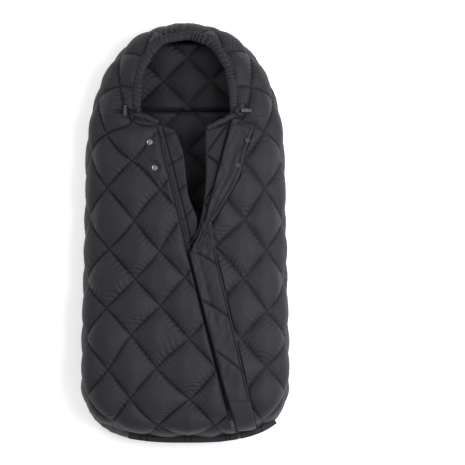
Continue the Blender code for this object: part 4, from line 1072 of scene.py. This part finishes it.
def tape_line(side, start=0.0, end=0.0):
    """The middle of the zip as one tape follows it, from start metres below its top to end before its end."""
    open_stretch = [ZIP_TOP] if side < 0 else [RIGHT_TAPE_TOP, RIGHT_TAPE_BEND]
    plan = resample([*open_stretch, (zip_x(ZIP_OPEN_Y), ZIP_OPEN_Y), ZIP_BOTTOM], 500)
    points = raised(plan, zip_height(plan[:, 0], plan[:, 1]))
    run = run_along(points)
    keep = np.linspace(start, run[-1] - end, max(3, round((run[-1] - start - end) / 0.002)))
    return points_at(keep, run, points)


def zip_frames(path):
    """Along, across towards +X, and up, for each point of a path down the zip."""
    along, across, up = path_frames(path)
    return along, across * (1 if across[0, 0] > 0 else -1), up


def make_tapes(tape):
    """Each woven tape: a thin strip under its teeth, with a turned outer edge."""
    top = [(0.0, 0.0), (0.5, TAPE_THICKNESS / 2), (1.0, 0.0)]
    profile = np.array(top + [(1.0, -TAPE_THICKNESS), (0.0, -TAPE_THICKNESS)])
    for name, side in (("left", -1), ("right", 1)):
        path = tape_line(side)
        _, across, up = zip_frames(path)
        wide = lerp(TEETH_INNER * side, TAPE_OUTER * side, profile[:, 0])[None, :, None]
        points = path[:, None] + across[:, None] * wide + up[:, None] * profile[None, :, 1:]
        strip = grid_object("tape_" + name, points, tape, (wide[..., 0], points[..., 1]), wrap=True)
        place(strip, "root", "zip_tape", "zip_tape_" + name)


def make_teeth(surface):
    """Moulded teeth along each tape, the two sides offset by half a pitch."""
    corners = np.array([(x, y, z) for x in (0, 1) for y in (-0.5, 0.5) for z in (-0.5, 0.5)], float)
    sides = [(0, 1, 3, 2), (4, 6, 7, 5), (0, 4, 5, 1), (2, 3, 7, 6), (0, 2, 6, 4), (1, 5, 7, 3)]
    wide = (TEETH_OUTER - TEETH_INNER) * corners[:, :1] + TEETH_INNER
    for name, side in (("left", -1), ("right", 1)):
        path = resample(tape_line(side, TEETH_START, TEETH_END), 6000)
        run = run_along(path)
        places = np.arange(TEETH_PITCH * (0.5 if side > 0 else 1.0), run[-1], TEETH_PITCH)
        spots = points_at(places, run, path)
        along, across, up = (axis[:, None] for axis in zip_frames(spots))
        points = spots[:, None] + across * (side * wide)
        points = points + along * (corners[:, 1:2] * TOOTH_LENGTH) + up * (corners[:, 2:] * TOOTH_HEIGHT)
        faces = [[k * 8 + c for c in quad] for k in range(len(spots)) for quad in sides]
        teeth = mesh_object("teeth_" + name, points.reshape(-1, 3), faces, surface, {})
        bevel(teeth, 0.0003)
        place(teeth, "root", "zip_teeth", "zip_teeth_" + name)


PLACKET_DEPTH = 0.0055  # under the tapes
PLACKET_HALF_SIZES = (0.0110, 0.0025)


def make_placket(lining):
    """The padded strip behind the closed stretch of the zip."""
    y = np.linspace(0.030, -0.427, 140)
    path = np.stack([zip_x(y), y, zip_height(zip_x(y), y) - PLACKET_DEPTH], -1)
    strip = soft_tube("placket_pad", path, *PLACKET_HALF_SIZES, band_relief, lining, around=24)
    place(strip, "root", "lining_nylon", "inner_placket", fill=0.4)


# ---- Fittings kept from the CAD ----


def bevel(obj, width, segments=2):
    modifier = obj.modifiers.new("edges", "BEVEL")
    modifier.width = width
    modifier.segments = segments
    modifier.limit_method = "ANGLE"
    modifier.harden_normals = False


def dress(names, surface, width):
    """Gives CAD nodes that stay visible a material and softened edges."""
    for name in names:
        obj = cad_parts[name]
        obj.data.materials.clear()
        obj.data.materials.append(surface)
        bevel(obj, width)


def dress_fittings():
    """The metal and plastic fittings, which are shown as the CAD made them."""
    dark = scratched("dark_metal_worn", DARK_METAL, 0.45, 1.0)
    stops = ["zip_top_stop_left", "zip_top_stop_right", "zip_bottom_stop"]
    dress(["upper_slider", "upper_puller", "lower_slider", *stops], dark, 0.0003)
    dress(["eyelet_left", "eyelet_right"], dark, 0.0001)
    lacquered = scratched("dark_metal_lacquered", LACQUER, 0.6, 0.0)
    dress(["snap_socket_upper", "snap_socket_lower"], lacquered, 0.0001)
    dress(["lower_puller"], scratched("pale_metal_worn", PALE_METAL, 0.5, 1.0), 0.0003)
    chrome = scratched("snap_chrome_worn", CHROME, 0.30, 1.0)
    dress(["snap_stud_upper", "snap_stud_lower"], chrome, 0.0001)
    for side in ("left", "right"):
        plastic = scratched("lock_plastic_" + side, LOCK_PLASTIC, 0.45, 0.0)
        dress([f"cord_lock_{side}_body"], plastic, 0.0006)
        button = scratched("button_plastic_" + side, BUTTON_PLASTIC, 0.45, 0.0)
        dress([f"cord_lock_{side}_button"], button, 0.0005)
        spring = scratched("spring_steel_" + side, SPRING_STEEL, 0.3, 1.0)
        dress([f"cord_lock_{side}_spring"], spring, 0.00005)


# ---- Materials ----


NYLON = (0.0150, 0.0148, 0.0190)
HOOD_LINING = (0.0085, 0.0085, 0.0115)
# painted light: a lighter copy of the lining colour, for the back lining lit in the zip's opening
LINING_PAINTED_LIGHTER = (0.0135, 0.0135, 0.0175)
FACING = (0.0115, 0.0115, 0.0145)
TAPE = (0.007, 0.007, 0.008)
BLACK_NYLON = (0.008, 0.008, 0.009)  # of the cord and the zip's teeth
DARK_METAL = (0.03, 0.03, 0.033)
LACQUER = (0.013, 0.013, 0.016)
PALE_METAL = (0.06, 0.06, 0.065)
CHROME = (0.22, 0.22, 0.23)
LOCK_PLASTIC = (0.018, 0.018, 0.021)
BUTTON_PLASTIC = (0.045, 0.045, 0.048)
SPRING_STEEL = (0.5, 0.5, 0.5)
CLOTH_ROUGHNESS = 0.62
THREAD_PITCH = 0.0008
CRUMPLE_SIZE = 0.012
STITCH_HALF_WIDTH = 0.0006
STITCH_PITCH = 0.0034
GROOVE_WIDTH = 0.0025
# width of the painted shade beside the quilt lines
PAINTED_GROOVE_SHADE_WIDTH = 0.0050


def new_material(name, colour, roughness, metallic=0.0, sheen=0.0, gloss=0.5):
    """A material with a plain surface, its node tree and its shader."""
    material = bpy.data.materials.new(name)
    material.use_nodes = True
    shader = material.node_tree.nodes["Principled BSDF"]
    shader.inputs["Base Color"].default_value = (*colour, 1.0)
    shader.inputs["Roughness"].default_value = roughness
    shader.inputs["Metallic"].default_value = metallic
    shader.inputs["Sheen Weight"].default_value = sheen
    shader.inputs["Specular IOR Level"].default_value = gloss
    return material, material.node_tree, shader


def calculate(tree, operation, *values):
    """A Math node's output; each value is a number or another node's output."""
    node = tree.nodes.new("ShaderNodeMath")
    node.operation = operation
    for socket, value in zip(node.inputs, values):
        if isinstance(value, (int, float)):
            socket.default_value = value
        else:
            tree.links.new(value, socket)
    return node.outputs[0]


def map_axes(tree, name):
    """The two coordinates of a named map."""
    uv = tree.nodes.new("ShaderNodeUVMap")
    uv.uv_map = name
    split = tree.nodes.new("ShaderNodeSeparateXYZ")
    tree.links.new(uv.outputs[0], split.inputs[0])
    return uv.outputs[0], split.outputs[0], split.outputs[1]


def mix_colours(tree, factor, first, second):
    """A Mix node's output; each colour is three numbers or another node's output."""
    node = tree.nodes.new("ShaderNodeMix")
    node.data_type = "RGBA"
    tree.links.new(factor, node.inputs[0])
    for socket, value in ((node.inputs[6], first), (node.inputs[7], second)):
        if isinstance(value, tuple):
            socket.default_value = (*value, 1.0)
        else:
            tree.links.new(value, socket)
    return node.outputs[2]


def noise(tree, coordinates, size, detail=2.0):
    node = tree.nodes.new("ShaderNodeTexNoise")
    node.inputs["Scale"].default_value = 1.0 / size
    node.inputs["Detail"].default_value = detail
    tree.links.new(coordinates, node.inputs["Vector"])
    return node.outputs["Fac"]


def add_bump(tree, shader, height, distance, strength=1.0):
    node = tree.nodes.new("ShaderNodeBump")
    node.inputs["Distance"].default_value = distance
    node.inputs["Strength"].default_value = strength
    tree.links.new(height, node.inputs["Height"])
    tree.links.new(node.outputs[0], shader.inputs["Normal"])


def weave(tree, u, v, pitch):
    """The crossed threads of a plain weave, from 0 to 1."""
    across = calculate(tree, "SINE", calculate(tree, "MULTIPLY", u, 2 * math.pi / pitch))
    along = calculate(tree, "SINE", calculate(tree, "MULTIPLY", v, 2 * math.pi / pitch))
    product = calculate(tree, "MULTIPLY", across, along)
    return calculate(tree, "MULTIPLY_ADD", product, 0.5, 0.5)


def near_line(tree, number):
    """Metres from the nearest stitch line."""
    away = calculate(tree, "PINGPONG", number, 0.5)
    return calculate(tree, "MULTIPLY", away, LINE_SPACING)


def woven_nylon(name, colour, roughness=CLOTH_ROUGHNESS, quilted=False):
    """Fine woven nylon with a little crumple. When it is quilted it has stitches along its quilt lines, and
    painted shade darkens the cloth towards those lines.
    """
    material, tree, shader = new_material(name, colour, roughness, sheen=0.05, gloss=0.20)
    shader.inputs["Sheen Roughness"].default_value = 0.4
    cloth, u, v = map_axes(tree, "cloth")
    height = calculate(tree, "MULTIPLY", weave(tree, u, v, THREAD_PITCH), 0.05)
    crumple = calculate(tree, "MULTIPLY", noise(tree, cloth, CRUMPLE_SIZE, 3.0), 0.9)
    height = calculate(tree, "ADD", height, crumple)
    shade = mix_colours(tree, noise(tree, cloth, 0.10), colour, scaled(colour, 1.25))
    if quilted:
        _, p, q = map_axes(tree, "quilt")
        near_p, near_q = near_line(tree, p), near_line(tree, q)
        near = calculate(tree, "MINIMUM", near_p, near_q)
        groove = calculate(tree, "SMOOTH_MIN", calculate(tree, "DIVIDE", near, GROOVE_WIDTH), 1.0, 0.3)
        height = calculate(tree, "ADD", height, calculate(tree, "MULTIPLY", groove, 0.5))
        stitch = calculate(tree, "MAXIMUM", stitches(tree, near_p, q), stitches(tree, near_q, p))
        shade = mix_colours(tree, stitch, shade, scaled(colour, 0.55))
        # painted shade: the colour darkens towards the quilt lines, standing in for the shaded grooves
        away = calculate(tree, "MINIMUM", calculate(tree, "DIVIDE", near, PAINTED_GROOVE_SHADE_WIDTH), 1.0)
        fold = calculate(tree, "POWER", calculate(tree, "SUBTRACT", 1.0, away), 1.6)
        shade = mix_colours(tree, fold, shade, scaled(colour, 0.15))
    tree.links.new(shade, shader.inputs["Base Color"])
    add_bump(tree, shader, height, 0.0009)
    return material


def scaled(colour, factor):
    return tuple(part * factor for part in colour)


def stitches(tree, near, along):
    """1 on the thread of a dashed line of stitching."""
    on_line = calculate(tree, "LESS_THAN", near, STITCH_HALF_WIDTH)
    dash = calculate(tree, "FRACT", calculate(tree, "MULTIPLY", along, LINE_SPACING / STITCH_PITCH))
    return calculate(tree, "MULTIPLY", on_line, calculate(tree, "LESS_THAN", dash, 0.7))


def scratched(name, colour, roughness, metallic, grain=0.004):
    """Metal or moulded plastic with slight wear in its gloss."""
    material, tree, shader = new_material(name, colour, roughness, metallic)
    position = tree.nodes.new("ShaderNodeTexCoord").outputs["Object"]
    wear = noise(tree, position, grain, 4.0)
    gloss = calculate(tree, "MULTIPLY_ADD", wear, 0.25, roughness - 0.12)
    tree.links.new(gloss, shader.inputs["Roughness"])
    add_bump(tree, shader, wear, 0.0001, 0.5)
    return material


def braided(name, colour):
    """Round elastic cord with a braided cover."""
    material, tree, shader = new_material(name, colour, 0.8, gloss=0.2)
    position = tree.nodes.new("ShaderNodeTexCoord").outputs["Object"]
    wave = tree.nodes.new("ShaderNodeTexWave")
    wave.inputs["Scale"].default_value = 900
    wave.inputs["Distortion"].default_value = 2.0
    tree.links.new(position, wave.inputs["Vector"])
    add_bump(tree, shader, wave.outputs["Fac"], 0.0002)
    return material


# ---- Light and floor ----


def make_light(name, location, size, power):
    data = bpy.data.lights.new(name, "AREA")
    data.size = size
    data.energy = power
    light = add_object(name, data)
    light.location = location
    light.rotation_euler = Vector(location).to_track_quat("Z", "Y").to_euler()
    return light


FLOOR_REACH = 30.0
FLOOR_DROP = 0.0006  # below the bag, so that the two don't flicker
FLOOR_GLOW = 0.35
WORLD_STRENGTH = 0.62
WHITE = (1.0, 1.0, 1.0, 1.0)


def make_floor():
    mesh = bpy.data.meshes.new("floor")
    corners = [(x * FLOOR_REACH, y * FLOOR_REACH, 0) for x, y in ((-1, -1), (1, -1), (1, 1), (-1, 1))]
    mesh.from_pydata(corners, [], [(0, 1, 2, 3)])
    floor = add_object("floor", mesh)
    floor.location.z = -FLOOR_DROP
    material, _, shader = new_material("floor_white", (0.86, 0.86, 0.86), 0.9)
    shader.inputs["Emission Color"].default_value = WHITE
    shader.inputs["Emission Strength"].default_value = FLOOR_GLOW
    mesh.materials.append(material)
    return floor


def make_stage():
    """A white studio with its key light on the right."""
    floor = make_floor()
    key = make_light("key", (1.5, 0.0, 2.0), size=1.6, power=58.0)
    fill = make_light("fill", (-1.4, 0.9, 2.2), size=2.2, power=15.0)
    world = bpy.data.worlds.new("studio")
    world.use_nodes = True
    background = world.node_tree.nodes["Background"]
    background.inputs["Color"].default_value = WHITE
    background.inputs["Strength"].default_value = WORLD_STRENGTH
    bpy.context.scene.world = world
    bpy.context.scene.view_settings.view_transform = "Standard"


# ---- The whole object ----


def main():
    nylon = woven_nylon("quilted_nylon_woven", NYLON, quilted=True)
    plain = woven_nylon("plain_nylon_woven", NYLON)
    hood_lining = woven_nylon("lining_nylon_woven", HOOD_LINING, quilted=True)
    # painted light: the back lining gets the lighter copy of the lining colour
    back_lining = woven_nylon("lining_painted_lighter_woven", LINING_PAINTED_LIGHTER, quilted=True)
    plain_lining = woven_nylon("plain_lining_woven", FACING)
    facing = woven_nylon("facing_nylon_woven", FACING, quilted=True)
    tape = woven_nylon("zip_tape_woven", TAPE, 0.7)
    make_camera()
    make_cords(braided("elastic_braid", BLACK_NYLON))
    make_shell(nylon, hood_lining)
    make_back(nylon)
    back_high_y = LINING_SEAM_Y - LINING_SEAM_GAP
    make_lining("back_lining", LINING_LOW_Y, back_high_y, BACK_LINING_INSET, back_lining)
    head_low_y = LINING_SEAM_Y + LINING_SEAM_GAP
    make_lining("head_lining", head_low_y, LINING_HIGH_Y, HEAD_LINING_INSET, hood_lining)
    make_gusset(plain)
    make_storm_flap(nylon, plain)
    make_facing(facing)
    make_wind_flap(facing)
    make_tunnel(plain)
    make_bands(plain)
    make_tapes(tape)
    make_teeth(scratched("zip_teeth_moulded", BLACK_NYLON, 0.5, 0.0))
    make_placket(plain_lining)
    dress_fittings()
    make_stage()


main()
